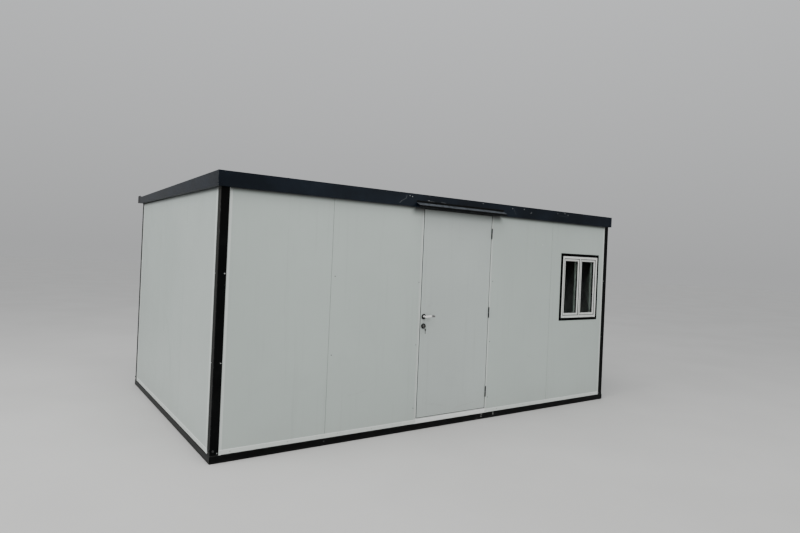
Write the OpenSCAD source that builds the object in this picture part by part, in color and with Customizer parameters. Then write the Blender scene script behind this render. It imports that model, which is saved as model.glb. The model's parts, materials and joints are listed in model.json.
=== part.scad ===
// Portable site cabin: a welded base frame, corner posts and top frame carry
// tongue-and-groove sandwich panels, a ribbed roof, a door and a small window.
// X runs along the front, Y from front to rear, Z up from the ground.

/* [Base frame] */
// Length of the base frame along the front
frame_l = 4802; // [4400:2:5200]
// Depth of the base frame from front to rear
frame_d = 2966; // [2800:2:3200]
// Height of the base rails
rail_h = 60; // [50:1:80]
// Width of the base rails
rail_w = 80; // [70:1:100]
// Wall of the steel tubes
tube_t = 3; // [2:0.5:4]
// Outer radius of the steel tubes' corners
tube_r = 4.5; // [4.5:0.5:7]
// Number of floor joists between the long rails
joist_count = 9; // [7:2:11]
// Width of a floor joist
joist_w = 50; // [40:1:60]
// Thickness of the floor deck
deck_t = 24; // [18:1:30]

/* [Posts and top frame] */
// Side of the square corner posts
post_w = 70; // [58:1:74]
// Height of the corner posts above the base rails
post_h = 2068; // [1960:1:2200]
// Step from the face of a base rail back to the face of a post
post_inset = 3; // [1:0.5:6]
// Height of the top beam at the rear
beam_h = 36; // [32:1:50]
// Width of the top beams
beam_w = 50; // [40:1:60]

/* [Wall panels] */
// Thickness of the wall panels
wall_t = 50; // [45:1:54]
// Step from the face of a post back to the face of a wall panel
wall_inset = 3; // [2:0.5:6]
// Width of a whole wall panel
panel_w = 948; // [900:1:1000]
// Visible joint between two panels
joint_w = 2; // [1.5:0.5:4]
// Depth of the tongue
tongue_l = 12; // [8:1:16]
// Thickness of the tongue
tongue_t = 16; // [10:1:22]
// Clearance of a tongue in its groove
tongue_gap = 0.3; // [0.2:0.1:0.5]
// Distance of the first front joint from the left end of the base
joint_left_x = 979; // [900:1:1100]
// Distance of the last front joint from the right end of the base
joint_right_x = 1022; // [960:1:1100]

/* [Wall trims] */
// Sheet thickness of the tracks and edge trims
trim_t = 1.5; // [1:0.1:2]
// Height of the flanges of the bottom track
track_h = 38; // [22:1:48]
// Width of the edge trim beside a post on the front and rear
edge_w = 22; // [16:1:34]
// Width of the edge trim beside a post on the sides
side_edge_w = 42; // [20:1:60]
// Leg of the angle between wall and ceiling
angle_w = 28; // [20:1:40]

/* [Roof] */
// Fall of the roof from front to rear
roof_fall = 24; // [10:1:30]
// Thickness of the roof panel under its ribs
roof_core = 30; // [26:1:40]
// Height of the roof ribs
rib_h = 18; // [12:1:24]
// Width of a rib at its foot
rib_foot = 64; // [50:1:80]
// Width of a rib at its top
rib_top = 26; // [16:1:40]
// Number of roof panels side by side
roof_count = 5; // [4:1:6]
// Number of ribs across one roof panel
rib_count = 4; // [3:1:5]
// Reach of the roof past the rear top beam into the gutter
roof_reach = 30; // [20:1:50]

/* [Fascia and gutter] */
// Step from the face of the front base rail out to the face of the fascia
fascia_out = 30; // [20:1:45]
// Step from the left end of the base out to the end of the fascia
fascia_left_out = 30; // [12:1:45]
// Step from the right end of the base out to the end of the fascia
fascia_right_out = 8; // [6:1:45]
// Height of the fascia
fascia_h = 120; // [110:1:130]
// Sheet thickness of the fascia and gutter
sheet_t = 1.5; // [1:0.1:2]
// Return flange along the top of the fascia
fascia_top_w = 45; // [30:1:70]
// Leg of the folded cover on a fascia corner
cover_w = 38; // [25:1:60]
// Rise of the foot of a side fascia from front to rear
fascia_rise = 22; // [0:1:30]
// Reach of the gutter past the rear face of the base frame
gutter_out = 130; // [100:1:160]
// Depth of the gutter
gutter_h = 84; // [60:1:90]
// Height of the gutter's outer lip below the top of the fascia
gutter_drop = 6; // [4:1:25]
// Inward lip along the top of the gutter
gutter_lip = 14; // [8:1:24]
// Length of a gutter outlet
outlet_l = 60; // [40:1:90]
// Width of a gutter outlet
outlet_w = 40; // [30:1:60]
// Distance of a gutter outlet from the end of the gutter
outlet_x = 70; // [50:1:150]

/* [Drip cap] */
// Length of the drip cap
cap_l = 1134; // [1000:1:1250]
// Step of the drip cap to the left of the door's middle
cap_shift = 0; // [0:1:30]
// Reach of the drip cap in front of the fascia
cap_out = 53; // [35:1:60]
// Fall of the drip cap's sloping face
cap_fall = 25; // [18:1:34]
// Height of the drip cap's back edge above the foot of the fascia
cap_up = 40; // [36:1:60]
// Height of the drip cap's fixing leg
cap_leg = 20; // [10:1:30]
// Height of the drip cap's front lip
cap_lip = 20; // [8:1:28]

/* [Door] */
// Distance of the door opening from the left end of the base
door_x = 1944; // [1850:1:2050]
// Width of the door opening
door_w = 892.5; // [820:0.5:940]
// Height of the threshold above the base rail
sill_h = 45.5; // [36:0.5:64]
// Height of the head section above the door
head_h = 15; // [12:1:30]
// Gap round the door leaf
door_gap = 7; // [6.5:0.5:10]
// Thickness of the door leaf
leaf_t = 42; // [38:1:43]
// Face width of the door frame on the wall
jamb_w = 22; // [16:1:34]
// Reach of the door stop into the opening
stop_w = 15; // [12:1:22]
// Thickness of the door stop
stop_t = 4; // [3:0.5:6]
// Air between the door leaf and its stop
stop_gap = 5.5; // [5.2:0.1:7]

/* [Hinges] */
// Radius of the hinge barrel
barrel_r = 6; // [5:0.5:7]
// Radius of the hinge pin
pin_r = 3.5; // [2.5:0.5:4]
// Running clearance of the pin
pin_gap = 0.05; // [0.03:0.01:0.08]
// Height of a hinge
hinge_h = 104; // [80:2:130]
// Thickness of the hinge plates
plate_t = 2.5; // [2:0.5:3]
// Width of the hinge plates in the gap
plate_w = 34; // [24:1:38]
// Height of the lowest hinge's centre above the door's foot
hinge_low = 170; // [140:1:260]
// Height of the middle hinge's centre above the door's foot
hinge_mid = 991; // [850:1:1080]
// Distance of the top hinge's centre below the door's top
hinge_high = 185.5; // [140:0.5:290]

/* [Lock and lever] */
// Distance of the lever's axis from the lock edge of the door leaf
lever_x = 38; // [34:1:60]
// Height of the lever above the door's foot
lever_z = 967; // [900:1:1050]
// Length of the lever from its axis
lever_l = 112; // [100:1:140]
// Radius of the lever's round neck
lever_r = 9.5; // [8:0.5:11]
// Distance of the lever's bar from the face of the door
lever_out = 44; // [38:1:60]
// Height of the lever's bar
lever_h = 22; // [20:1:28]
// Thickness of the lever's bar
lever_t = 10; // [8:0.5:14]
// Height of the wave of the lever's bar above its axis
lever_rise = 6; // [0:1:12]
// Return of the lever's end towards the door
lever_return = 8; // [0:1:14]
// Length of the lever's round end
lever_end = 20; // [10:1:30]
// Radius of the rose
rose_r = 26; // [22:1:30]
// Thickness of the rose
rose_t = 8; // [5:1:10]
// Radius of the spindle
spindle_r = 5; // [4:0.5:6]
// Distance from the lever's axis down to the lock cylinder
cylinder_drop = 90; // [72:1:100]
// Radius of the lock cylinder
cylinder_r = 8.5; // [8:0.5:10]
// Reach of the lock cylinder past the escutcheon
cylinder_out = 4; // [2:0.5:8]
// Height of the lock's face plate
plate_h = 235; // [210:1:260]
// Radius of a key's bow
bow_r = 12; // [9:0.5:14]
// Radius of the key ring
ring_r = 11; // [9:0.5:14]

/* [Window] */
// Distance of the window frame from the right end of the base
window_x = 196; // [130:1:240]
// Width of the window frame
window_w = 632; // [560:1:700]
// Height of the window frame
window_h = 722; // [600:1:850]
// Height of the window frame above the base rail
window_z = 955; // [800:1:1050]
// Clearance of the window frame in the wall
window_gap = 2; // [1:0.5:4]
// Depth of the window frame
window_t = 55; // [52:1:70]
// Step of the window frame in front of the wall
window_out = 5; // [3:0.5:8]
// Face width of the window frame
window_face = 29; // [24:1:34]
// Face width of the mullion
mullion_w = 18; // [18:1:30]
// Face width of a sash
sash_face = 28; // [26:1:40]
// Step from the window frame back to the sash
sash_back = 7; // [4:1:8]
// Gap between the window frame and a sash
sash_gap = 2; // [1:0.5:3]
// Reach of a sash's inner flange over the frame
sash_lap = 8; // [5:0.5:9]
// Thickness of a sash's inner flange
sash_lap_t = 8; // [6:1:14]
// Step from the front of the window frame back to the glass
glass_v = 12; // [11:1:26]
// Thickness of one pane
pane_t = 4; // [3:0.5:6]
// Space between the panes
pane_space = 8; // [6:1:16]
// Edge of the glass held in the sash
glass_hold = 12; // [10:1:16]
// Face width of the black trim round the window
casing_w = 25; // [20:1:40]
// Thickness of the black trim
casing_t = 7; // [4:0.5:9]
// Thickness of the casing inside
inner_casing_t = 5; // [3:0.5:6]
// Height of the sash handle above the foot of the window frame
sash_handle_z = 320; // [260:1:420]

/* [Hidden] */
$fn = 48;
eps = 0.01;

// Sizes of small parts
seat_gap = 0.3;
spindle_air = 4;
cut = 1;
min_panel_w = 200;
roof_lap = 1;
sill_bevel = [6, 3];
case_t = 15;
case_below = 54;
case_above = 44;
case_behind = 28;
face_plate_t = 1.5;
face_plate_w = 20;
key_t = 2.4;
key_hole_r = 3;
key_rim = 2;
key_blade_w = 8;
key_blades = [8, 28];
ring_wire = 1;
bar_steps = 12;
lever_waist = 1.5;
elbow_r = 6;
elbow_out = 14;
handle_base = [28, 9, 68];
handle_neck_r = 9;
handle_neck = 26;
handle_grip = [20, 16, 105];

// Faces of the frame and the walls
left_x = -frame_l / 2;
right_x = frame_l / 2;
front_y = -frame_d / 2;
rear_y = frame_d / 2;
post_left = left_x + post_inset;
post_right = right_x - post_inset;
post_front = front_y + post_inset;
post_rear = rear_y - post_inset;
wall_left = post_left + wall_inset;
wall_right = post_right - wall_inset;
wall_front = post_front + wall_inset;
wall_rear = post_rear - wall_inset;
bay_left = post_left + post_w;
bay_right = post_right - post_w;
bay_front = post_front + post_w;
bay_rear = post_rear - post_w;
beam_z = rail_h + post_h;

// Underside of the roof at a depth y
roof_run = post_rear - post_front;
roof_angle = atan(roof_fall / roof_run);
function roof_z(y) = beam_z + beam_h + roof_fall * (post_rear - y) / roof_run;
function beam_top(y) = roof_z(y) - seat_gap;
roof_left = left_x - fascia_left_out;
roof_right = right_x + fascia_right_out;
fascia_face_y = front_y - fascia_out;
roof_front = fascia_face_y + sheet_t;
roof_back = post_rear + roof_reach;
function fascia_top(y) = roof_z(y) + roof_core + rib_h + sheet_t + seat_gap;
fascia_top_z = fascia_top(roof_front);
fascia_foot_z = fascia_top_z - fascia_h;
function side_foot(y) = fascia_foot_z + fascia_rise * (y - roof_front) / (post_rear - roof_front);
gutter_top_z = fascia_top_z - gutter_drop;
gutter_foot_z = gutter_top_z - gutter_h;
gutter_face_y = rear_y + gutter_out;

// Door opening and leaf
open_left = left_x + door_x;
open_right = open_left + door_w;
sill_z = rail_h + sill_h;
head_z = beam_z - head_h;
leaf_left = open_left + door_gap;
leaf_right = open_right - door_gap;
leaf_foot = sill_z + door_gap;
leaf_top = head_z - door_gap;
leaf_back = wall_front + leaf_t;
stop_y = leaf_back + stop_gap;
hinge_x = open_right - door_gap / 2;
hinge_clear = 0.4;
hinge_cap = 5;
hinge_y = wall_front - trim_t - sqrt(pow(barrel_r + hinge_clear, 2) - pow(door_gap / 2, 2));
hinge_levels = [hinge_low, hinge_mid, leaf_top - leaf_foot - hinge_high];
lever_axis_x = leaf_left + lever_x;
lever_axis_z = leaf_foot + lever_z;
cylinder_z = lever_axis_z - cylinder_drop;

// Window
frame_right = right_x - window_x;
frame_left = frame_right - window_w;
frame_foot = rail_h + window_z;
frame_front = wall_front - window_out;
sash_w = (window_w - 2 * window_face - mullion_w) / 2;
sash_h = window_h - 2 * window_face;
glass_t = 2 * pane_t + pane_space;
glass_gap = 1;

steel_black = [0.09, 0.1, 0.1];
panel_grey = [0.68, 0.7, 0.69];
trim_grey = [0.78, 0.8, 0.79];
anthracite = [0.13, 0.15, 0.18];

// A box between two corners
module block(low, high) {
    translate(low) cube([for (i = [0:2]) high[i] - low[i]]);
}

// A rectangle with round corners
module round_square(size, r) {
    translate([r, 0]) square([size[0] - 2 * r, size[1]]);
    translate([0, r]) square([size[0], size[1] - 2 * r]);
    for (x = [r, size[0] - r], y = [r, size[1] - r]) translate([x, y]) circle(r);
}

// Section of a square or rectangular tube with rolled corners
module tube_section(size) {
    difference() {
        round_square(size, tube_r);
        translate([tube_t, tube_t])
            round_square([size[0] - 2 * tube_t, size[1] - 2 * tube_t], tube_r - tube_t);
    }
}

// Extrudes a child drawn in (Y, Z) along X
module along_x(x0, x1) {
    translate([x0, 0, 0]) rotate([90, 0, 90]) linear_extrude(x1 - x0) children();
}

// Extrudes a child drawn in (X, Z) along Y
module along_y(y0, y1) {
    translate([0, y1, 0]) rotate([90, 0, 0]) linear_extrude(y1 - y0) children();
}

// A tube along X, Y or Z between two corners, open at both ends
module tube_x(low, high) {
    along_x(low[0], high[0]) translate([low[1], low[2]]) tube_section([high[1] - low[1], high[2] - low[2]]);
}
module tube_y(low, high) {
    along_y(low[1], high[1]) translate([low[0], low[2]]) tube_section([high[0] - low[0], high[2] - low[2]]);
}
module tube_z(low, high) {
    translate(low) linear_extrude(high[2] - low[2])
        tube_section([high[0] - low[0], high[1] - low[1]]);
}

// Base frame: four rails, mitred where they meet
module base_rails_long() {
    color(steel_black) for (side = [0, 1]) mirror([0, side, 0]) intersection() {
        tube_x([left_x, front_y, 0], [right_x, front_y + rail_w, rail_h]);
        translate([0, 0, -cut]) linear_extrude(rail_h + 2 * cut) polygon([[left_x, front_y],
            [right_x, front_y], [right_x - rail_w, front_y + rail_w], [left_x + rail_w, front_y + rail_w]]);
    }
}
module base_rails_end() {
    color(steel_black) for (side = [0, 1]) mirror([side, 0, 0]) intersection() {
        tube_y([left_x, front_y, 0], [left_x + rail_w, rear_y, rail_h]);
        translate([0, 0, -cut]) linear_extrude(rail_h + 2 * cut) polygon([[left_x, front_y],
            [left_x + rail_w, front_y + rail_w], [left_x + rail_w, rear_y - rail_w], [left_x, rear_y]]);
    }
}
module floor_joists() {
    span = frame_l - 2 * rail_w;
    step = span / (joist_count + 1);
    color(steel_black) for (i = [1:joist_count]) {
        x = left_x + rail_w + i * step;
        tube_y([x - joist_w / 2, front_y + rail_w, 0], [x + joist_w / 2, rear_y - rail_w, rail_h]);
    }
}
module floor_deck() {
    color([0.45, 0.42, 0.38]) difference() {
        block([wall_left + wall_t + trim_t, wall_front + wall_t + trim_t, rail_h],
            [wall_right - wall_t - trim_t, wall_rear - wall_t - trim_t, rail_h + deck_t]);
        for (x = [post_left, bay_right], y = [post_front, bay_rear])
            block([x - seat_gap, y - seat_gap, rail_h - cut],
                [x + post_w + seat_gap, y + post_w + seat_gap, rail_h + deck_t + cut]);
    }
}

// Corner posts, closed by the base rails below and the top beams above
module corner_post(x, y) {
    color(steel_black) tube_z([x, y, rail_h], [x + post_w, y + post_w, beam_z]);
}
module corner_post_front_left() { corner_post(post_left, post_front); }
module corner_post_front_right() { corner_post(bay_right, post_front); }
module corner_post_rear_left() { corner_post(post_left, bay_rear); }
module corner_post_rear_right() { corner_post(bay_right, bay_rear); }

// Plan of one wall panel: u along the wall, v from its outer face inwards
module panel_plan(w, groove, tongue) {
    mid = wall_t / 2;
    difference() {
        square([w, wall_t]);
        if (groove) translate([-eps, mid - tongue_t / 2 - tongue_gap])
            square([tongue_l - joint_w + tongue_gap + eps, tongue_t + 2 * tongue_gap]);
    }
    if (tongue) translate([w - eps, mid - tongue_t / 2]) square([tongue_l + eps, tongue_t]);
}

// One panel stands in the bottom track and reaches the top beam
module wall_panel(w, groove, tongue) {
    translate([0, 0, rail_h + trim_t]) linear_extrude(beam_z - rail_h - trim_t)
        panel_plan(w, groove, tongue);
}

// A row of panels that fills a straight length, whole ones first
module panel_row(length) {
    pitch = panel_w + joint_w;
    whole = floor((length + joint_w - min_panel_w) / pitch);
    for (i = [0:whole]) {
        w = i < whole ? panel_w : length - whole * pitch;
        translate([i * pitch, 0, 0]) wall_panel(w, i > 0, i < whole);
    }
}

// Front wall: the panel edges that meet a post or a jamb stop at the web of its trim
front_start = bay_left + trim_t;
front_end = bay_right - trim_t;
jamb_face_left = open_left - trim_t;
jamb_face_right = open_right + trim_t;
joint_left = left_x + joint_left_x;
joint_right = right_x - joint_right_x;
module front_panel_1() {
    color(panel_grey) translate([front_start, wall_front, 0])
        wall_panel(joint_left - joint_w / 2 - front_start, false, true);
}
module front_panel_2() {
    color(panel_grey) translate([joint_left + joint_w / 2, wall_front, 0])
        wall_panel(jamb_face_left - joint_left - joint_w / 2, true, false);
}
module front_panel_3() {
    color(panel_grey) translate([jamb_face_right, wall_front, 0])
        wall_panel(joint_right - joint_w / 2 - jamb_face_right, false, true);
}
module front_panel_4() {
    color(panel_grey) difference() {
        translate([joint_right + joint_w / 2, wall_front, 0])
            wall_panel(front_end - joint_right - joint_w / 2, true, false);
        block([frame_left - window_gap, wall_front - 1, frame_foot - window_gap],
            [frame_right + window_gap, wall_front + wall_t + 1, frame_foot + window_h + window_gap]);
    }
}
module left_wall_panels() {
    color(panel_grey) translate([wall_left, bay_rear - trim_t, 0]) rotate([0, 0, -90])
        panel_row(bay_rear - bay_front - 2 * trim_t);
}
module right_wall_panels() {
    color(panel_grey) translate([wall_right, bay_front + trim_t, 0]) rotate([0, 0, 90])
        panel_row(bay_rear - bay_front - 2 * trim_t);
}
module rear_wall_panels() {
    color(panel_grey) translate([bay_right - trim_t, wall_rear, 0]) rotate([0, 0, 180])
        panel_row(bay_right - bay_left - 2 * trim_t);
}

// Bottom tracks: a channel on the rail that holds the foot of the panels
module track(length) {
    rotate([90, 0, 90]) linear_extrude(length) union() {
        translate([-trim_t, 0]) square([wall_t + 2 * trim_t, trim_t]);
        translate([-trim_t, 0]) square([trim_t, track_h]);
        translate([wall_t, 0]) square([trim_t, track_h]);
    }
}
module bottom_tracks() {
    color(trim_grey) {
        translate([bay_left + edge_w, wall_front, rail_h]) track(open_left - jamb_w - bay_left - edge_w);
        translate([open_right + jamb_w, wall_front, rail_h]) track(bay_right - edge_w - open_right - jamb_w);
        translate([bay_right - edge_w, wall_rear, rail_h]) rotate([0, 0, 180])
            track(bay_right - bay_left - 2 * edge_w);
        translate([wall_left, bay_rear - side_edge_w, rail_h]) rotate([0, 0, -90])
            track(bay_rear - bay_front - 2 * side_edge_w);
        translate([wall_right, bay_front + side_edge_w, rail_h]) rotate([0, 0, 90])
            track(bay_rear - bay_front - 2 * side_edge_w);
    }
}

// Edge trims: a channel with its web on a post and its flanges over the panel
module edge_trim(w) {
    translate([0, 0, rail_h]) linear_extrude(beam_z - rail_h) union() {
        translate([0, -trim_t]) square([trim_t, wall_t + 2 * trim_t]);
        translate([0, -trim_t]) square([w, trim_t]);
        translate([0, wall_t]) square([w, trim_t]);
    }
}
module edge_trims() {
    color(trim_grey) {
        translate([bay_left, wall_front, 0]) edge_trim(edge_w);
        translate([bay_right, wall_front, 0]) mirror([1, 0, 0]) edge_trim(edge_w);
        translate([bay_left, wall_rear, 0]) mirror([0, 1, 0]) edge_trim(edge_w);
        translate([bay_right, wall_rear, 0]) rotate([0, 0, 180]) edge_trim(edge_w);
        translate([wall_left, bay_front, 0]) rotate([0, 0, 90]) mirror([0, 1, 0]) edge_trim(side_edge_w);
        translate([wall_left, bay_rear, 0]) rotate([0, 0, -90]) edge_trim(side_edge_w);
        translate([wall_right, bay_front, 0]) rotate([0, 0, 90]) edge_trim(side_edge_w);
        translate([wall_right, bay_rear, 0]) rotate([0, 0, -90]) mirror([0, 1, 0]) edge_trim(side_edge_w);
    }
}

// Angles in the corner between the walls and the top beams, inside
module ceiling_angle(length) {
    rotate([90, 0, 90]) linear_extrude(length) union() {
        translate([0, beam_z - angle_w]) square([trim_t, angle_w]);
        translate([0, beam_z - trim_t]) square([angle_w, trim_t]);
    }
}
module ceiling_angles() {
    front = wall_front + wall_t;
    side = wall_left + wall_t;
    run = bay_rear - bay_front - 2 * side_edge_w;
    color(trim_grey) {
        translate([bay_left + edge_w, front, 0]) ceiling_angle(open_left - jamb_w - bay_left - edge_w);
        translate([open_right + jamb_w, front, 0]) ceiling_angle(bay_right - edge_w - open_right - jamb_w);
        translate([bay_right - edge_w, -front, 0]) rotate([0, 0, 180])
            ceiling_angle(bay_right - bay_left - 2 * edge_w);
        translate([side, bay_rear - side_edge_w, 0]) rotate([0, 0, -90]) ceiling_angle(run);
        translate([-side, bay_front + side_edge_w, 0]) rotate([0, 0, 90]) ceiling_angle(run);
    }
}

// Top beams: level below, their tops follow the fall of the roof
module beam_profile(y0, y1) {
    difference() {
        polygon([[y0, beam_z], [y1, beam_z], [y1, beam_top(y1)], [y0, beam_top(y0)]]);
        polygon([[y0 + tube_t, beam_z + tube_t], [y1 - tube_t, beam_z + tube_t],
            [y1 - tube_t, beam_top(y1 - tube_t) - tube_t], [y0 + tube_t, beam_top(y0 + tube_t) - tube_t]]);
    }
}
module top_beam_front() {
    color(steel_black) along_x(post_left, post_right) beam_profile(post_front, post_front + beam_w);
}
module top_beam_rear() {
    color(steel_black) along_x(post_left, post_right) beam_profile(post_rear - beam_w, post_rear);
}
module end_beam(x) {
    y0 = post_front + beam_w;
    y1 = post_rear - beam_w;
    difference() {
        along_x(x, x + beam_w)
            polygon([[y0, beam_z], [y1, beam_z], [y1, beam_top(y1)], [y0, beam_top(y0)]]);
        along_x(x + tube_t, x + beam_w - tube_t)
            polygon([[y0 - 1, beam_z + tube_t], [y1 + 1, beam_z + tube_t],
                [y1 + 1, beam_top(y1 + 1) - tube_t], [y0 - 1, beam_top(y0 - 1) - tube_t]]);
    }
}
module top_beams_end() {
    color(steel_black) {
        end_beam(post_left);
        end_beam(post_right - beam_w);
    }
}

// Roof panel section: a flat core with trapezoidal ribs, half a rib at each edge
module roof_section(w) {
    pitch = w / rib_count;
    foot = rib_foot / 2;
    crown = rib_top / 2;
    inner = [for (i = [1:rib_count - 1], p = [[-foot, 0], [-crown, rib_h], [crown, rib_h], [foot, 0]])
        [i * pitch + p[0], roof_core + p[1]]];
    polygon(concat([[w, 0], [0, 0], [0, roof_core + rib_h], [crown, roof_core + rib_h], [foot, roof_core]],
        inner, [[w - foot, roof_core], [w - crown, roof_core + rib_h], [w, roof_core + rib_h]]));
}
module roof_panels() {
    w = (roof_right - roof_left - 2 * sheet_t) / roof_count;
    spare = 50;
    color([0.6, 0.62, 0.62]) intersection() {
        for (i = [0:roof_count - 1])
            translate([roof_left + sheet_t + i * w + roof_lap / 2, roof_back, roof_z(roof_back)])
                rotate([-roof_angle, 0, 0]) translate([0, spare, 0]) rotate([90, 0, 0])
                    linear_extrude(roof_back - roof_front + 2 * spare) roof_section(w - roof_lap);
        block([roof_left + sheet_t, roof_front, beam_z], [roof_right - sheet_t, roof_back, fascia_top_z]);
    }
}

// Fascias: a tall face with a flange over the roof edge and a narrow one below
module fascia_front() {
    color(anthracite) along_x(roof_left, roof_right) translate([fascia_face_y, 0]) {
        translate([0, fascia_foot_z]) square([sheet_t, fascia_h]);
        translate([0, fascia_top_z - sheet_t]) square([fascia_top_w, sheet_t]);
        translate([0, fascia_foot_z]) square([fascia_out + post_inset, sheet_t]);
    }
}

// The side fascias fall with the roof and taper towards the gutter
module side_fascia(reach) {
    flange = fascia_face_y + fascia_top_w;
    rear_top = fascia_top(post_rear);
    rear_foot = side_foot(post_rear);
    along_x(0, sheet_t) polygon([[roof_front, fascia_foot_z + sheet_t],
        [post_front, fascia_foot_z + sheet_t], [post_front, side_foot(post_front)],
        [post_rear, rear_foot], [post_rear, rear_top], [flange, fascia_top(flange)],
        [flange, fascia_top_z - sheet_t], [roof_front, fascia_top_z - sheet_t]]);
    along_x(0, fascia_top_w) polygon([[flange, fascia_top(flange) - sheet_t],
        [post_rear, rear_top - sheet_t], [post_rear, rear_top], [flange, fascia_top(flange)]]);
    along_x(0, reach) polygon([[post_front, side_foot(post_front)],
        [post_rear, rear_foot], [post_rear, rear_foot + sheet_t],
        [post_front, side_foot(post_front) + sheet_t]]);
}
module fascia_left() {
    color(anthracite) translate([roof_left, 0, 0]) side_fascia(post_left - roof_left);
}
module fascia_right() {
    color(anthracite) translate([roof_right, 0, 0]) mirror([1, 0, 0]) side_fascia(roof_right - post_right);
}

// Folded covers on the two front corners of the fascia
module corner_cover() {
    block([-sheet_t, fascia_face_y - sheet_t, fascia_foot_z], [cover_w, fascia_face_y, fascia_top_z]);
    block([-sheet_t, fascia_face_y - eps, fascia_foot_z], [0, fascia_face_y + cover_w, fascia_top_z]);
}
module fascia_covers() {
    color(anthracite) {
        translate([roof_left, 0, 0]) corner_cover();
        translate([roof_right, 0, 0]) mirror([1, 0, 0]) corner_cover();
    }
}

// Gutter along the rear, under the ends of the roof panels, closed at both ends
module rear_gutter() {
    wall_h = beam_top(post_rear) - gutter_foot_z;
    mid_y = (post_rear + gutter_face_y) / 2;
    color([0.07, 0.07, 0.08]) difference() {
        union() {
            along_x(roof_left, roof_right) union() {
                translate([post_rear, gutter_foot_z]) square([gutter_face_y - post_rear, sheet_t]);
                translate([post_rear, gutter_foot_z]) square([sheet_t, wall_h]);
                translate([gutter_face_y - sheet_t, gutter_foot_z]) square([sheet_t, gutter_h]);
                translate([gutter_face_y - gutter_lip, gutter_top_z - sheet_t]) square([gutter_lip, sheet_t]);
            }
            for (x = [roof_left, roof_right - sheet_t])
                block([x, post_rear, gutter_foot_z], [x + sheet_t, gutter_face_y, gutter_top_z]);
        }
        for (x = [roof_left + outlet_x, roof_right - outlet_x - outlet_l])
            block([x, mid_y - outlet_w / 2, gutter_foot_z - cut],
                [x + outlet_l, mid_y + outlet_w / 2, gutter_foot_z + sheet_t + cut]);
    }
}

// Drip cap over the door: fixing leg, sloping face and a short front lip
module drip_cap() {
    mid_x = (open_left + open_right) / 2 - cap_shift;
    back = fascia_face_y;
    tip = back - cap_out;
    top = fascia_foot_z + cap_up;
    color([0.2, 0.22, 0.25]) along_x(mid_x - cap_l / 2, mid_x + cap_l / 2) polygon([
        [back, top + cap_leg], [back, top - sheet_t], [tip + sheet_t, top - cap_fall - sheet_t],
        [tip + sheet_t, top - cap_fall - cap_lip], [tip, top - cap_fall - cap_lip], [tip, top - cap_fall],
        [back - sheet_t, top], [back - sheet_t, top + cap_leg]]);
}

// Door frame: jambs that wrap the panel ends, with a stop behind the leaf
module jamb_plan() {
    translate([0, -trim_t]) square([trim_t, wall_t + 2 * trim_t]);
    translate([0, -trim_t]) square([jamb_w, trim_t]);
    translate([0, wall_t]) square([jamb_w, trim_t]);
    translate([-stop_w, stop_y - wall_front]) square([stop_w + eps, stop_t]);
}
module door_jamb_right() {
    color(trim_grey) translate([open_right, wall_front, rail_h]) linear_extrude(beam_z - rail_h) jamb_plan();
}
module door_jamb_left() {
    color(trim_grey) translate([open_left, wall_front, rail_h]) linear_extrude(beam_z - rail_h)
        mirror([1, 0, 0]) jamb_plan();
}
module door_head() {
    front = wall_front - trim_t;
    back = wall_front + wall_t + trim_t;
    color(trim_grey) {
        block([open_left, front, head_z], [open_right, stop_y, beam_z]);
        block([open_left + stop_w, stop_y - eps, head_z - stop_w],
            [open_right - stop_w, stop_y + stop_t, beam_z]);
        block([open_left + stop_w, stop_y, beam_z - 2 * trim_t], [open_right - stop_w, back, beam_z]);
    }
}
module door_threshold() {
    front = wall_front - trim_t;
    back = wall_front + wall_t + trim_t;
    color(trim_grey) {
        along_x(open_left, open_right) polygon([[front, rail_h], [front, sill_z - sill_bevel[1]],
            [front + sill_bevel[0], sill_z], [stop_y, sill_z], [stop_y, rail_h]]);
        block([open_left + stop_w, stop_y - eps, rail_h],
            [open_right - stop_w, stop_y + stop_t, sill_z + stop_w]);
        block([open_left + stop_w, stop_y, rail_h], [open_right - stop_w, back, rail_h + deck_t]);
    }
}

// Lock case and face plate, grown by a clearance for the mortise in the leaf
module lock_body(gap) {
    mid = wall_front + leaf_t / 2;
    centre_z = (lever_axis_z + cylinder_z) / 2;
    block([leaf_left, mid - case_t / 2 - gap, cylinder_z - case_below - gap],
        [lever_axis_x + case_behind + gap, mid + case_t / 2 + gap, lever_axis_z + case_above + gap]);
    block([leaf_left - gap, mid - face_plate_w / 2 - gap, centre_z - plate_h / 2 - gap],
        [leaf_left + face_plate_t + gap, mid + face_plate_w / 2 + gap, centre_z + plate_h / 2 + gap]);
}

// Door leaf with a mortise for the lock and holes for the spindle and cylinder
module door_leaf() {
    color(panel_grey) difference() {
        block([leaf_left, wall_front, leaf_foot], [leaf_right, leaf_back, leaf_top]);
        lock_body(seat_gap);
        translate([lever_axis_x, leaf_back + 1, lever_axis_z]) rotate([90, 0, 0])
            cylinder(r = spindle_r + spindle_air, h = leaf_t + 2);
        translate([lever_axis_x, leaf_back + 1, cylinder_z]) rotate([90, 0, 0])
            cylinder(r = cylinder_r + seat_gap, h = leaf_t + 2);
    }
}

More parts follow.
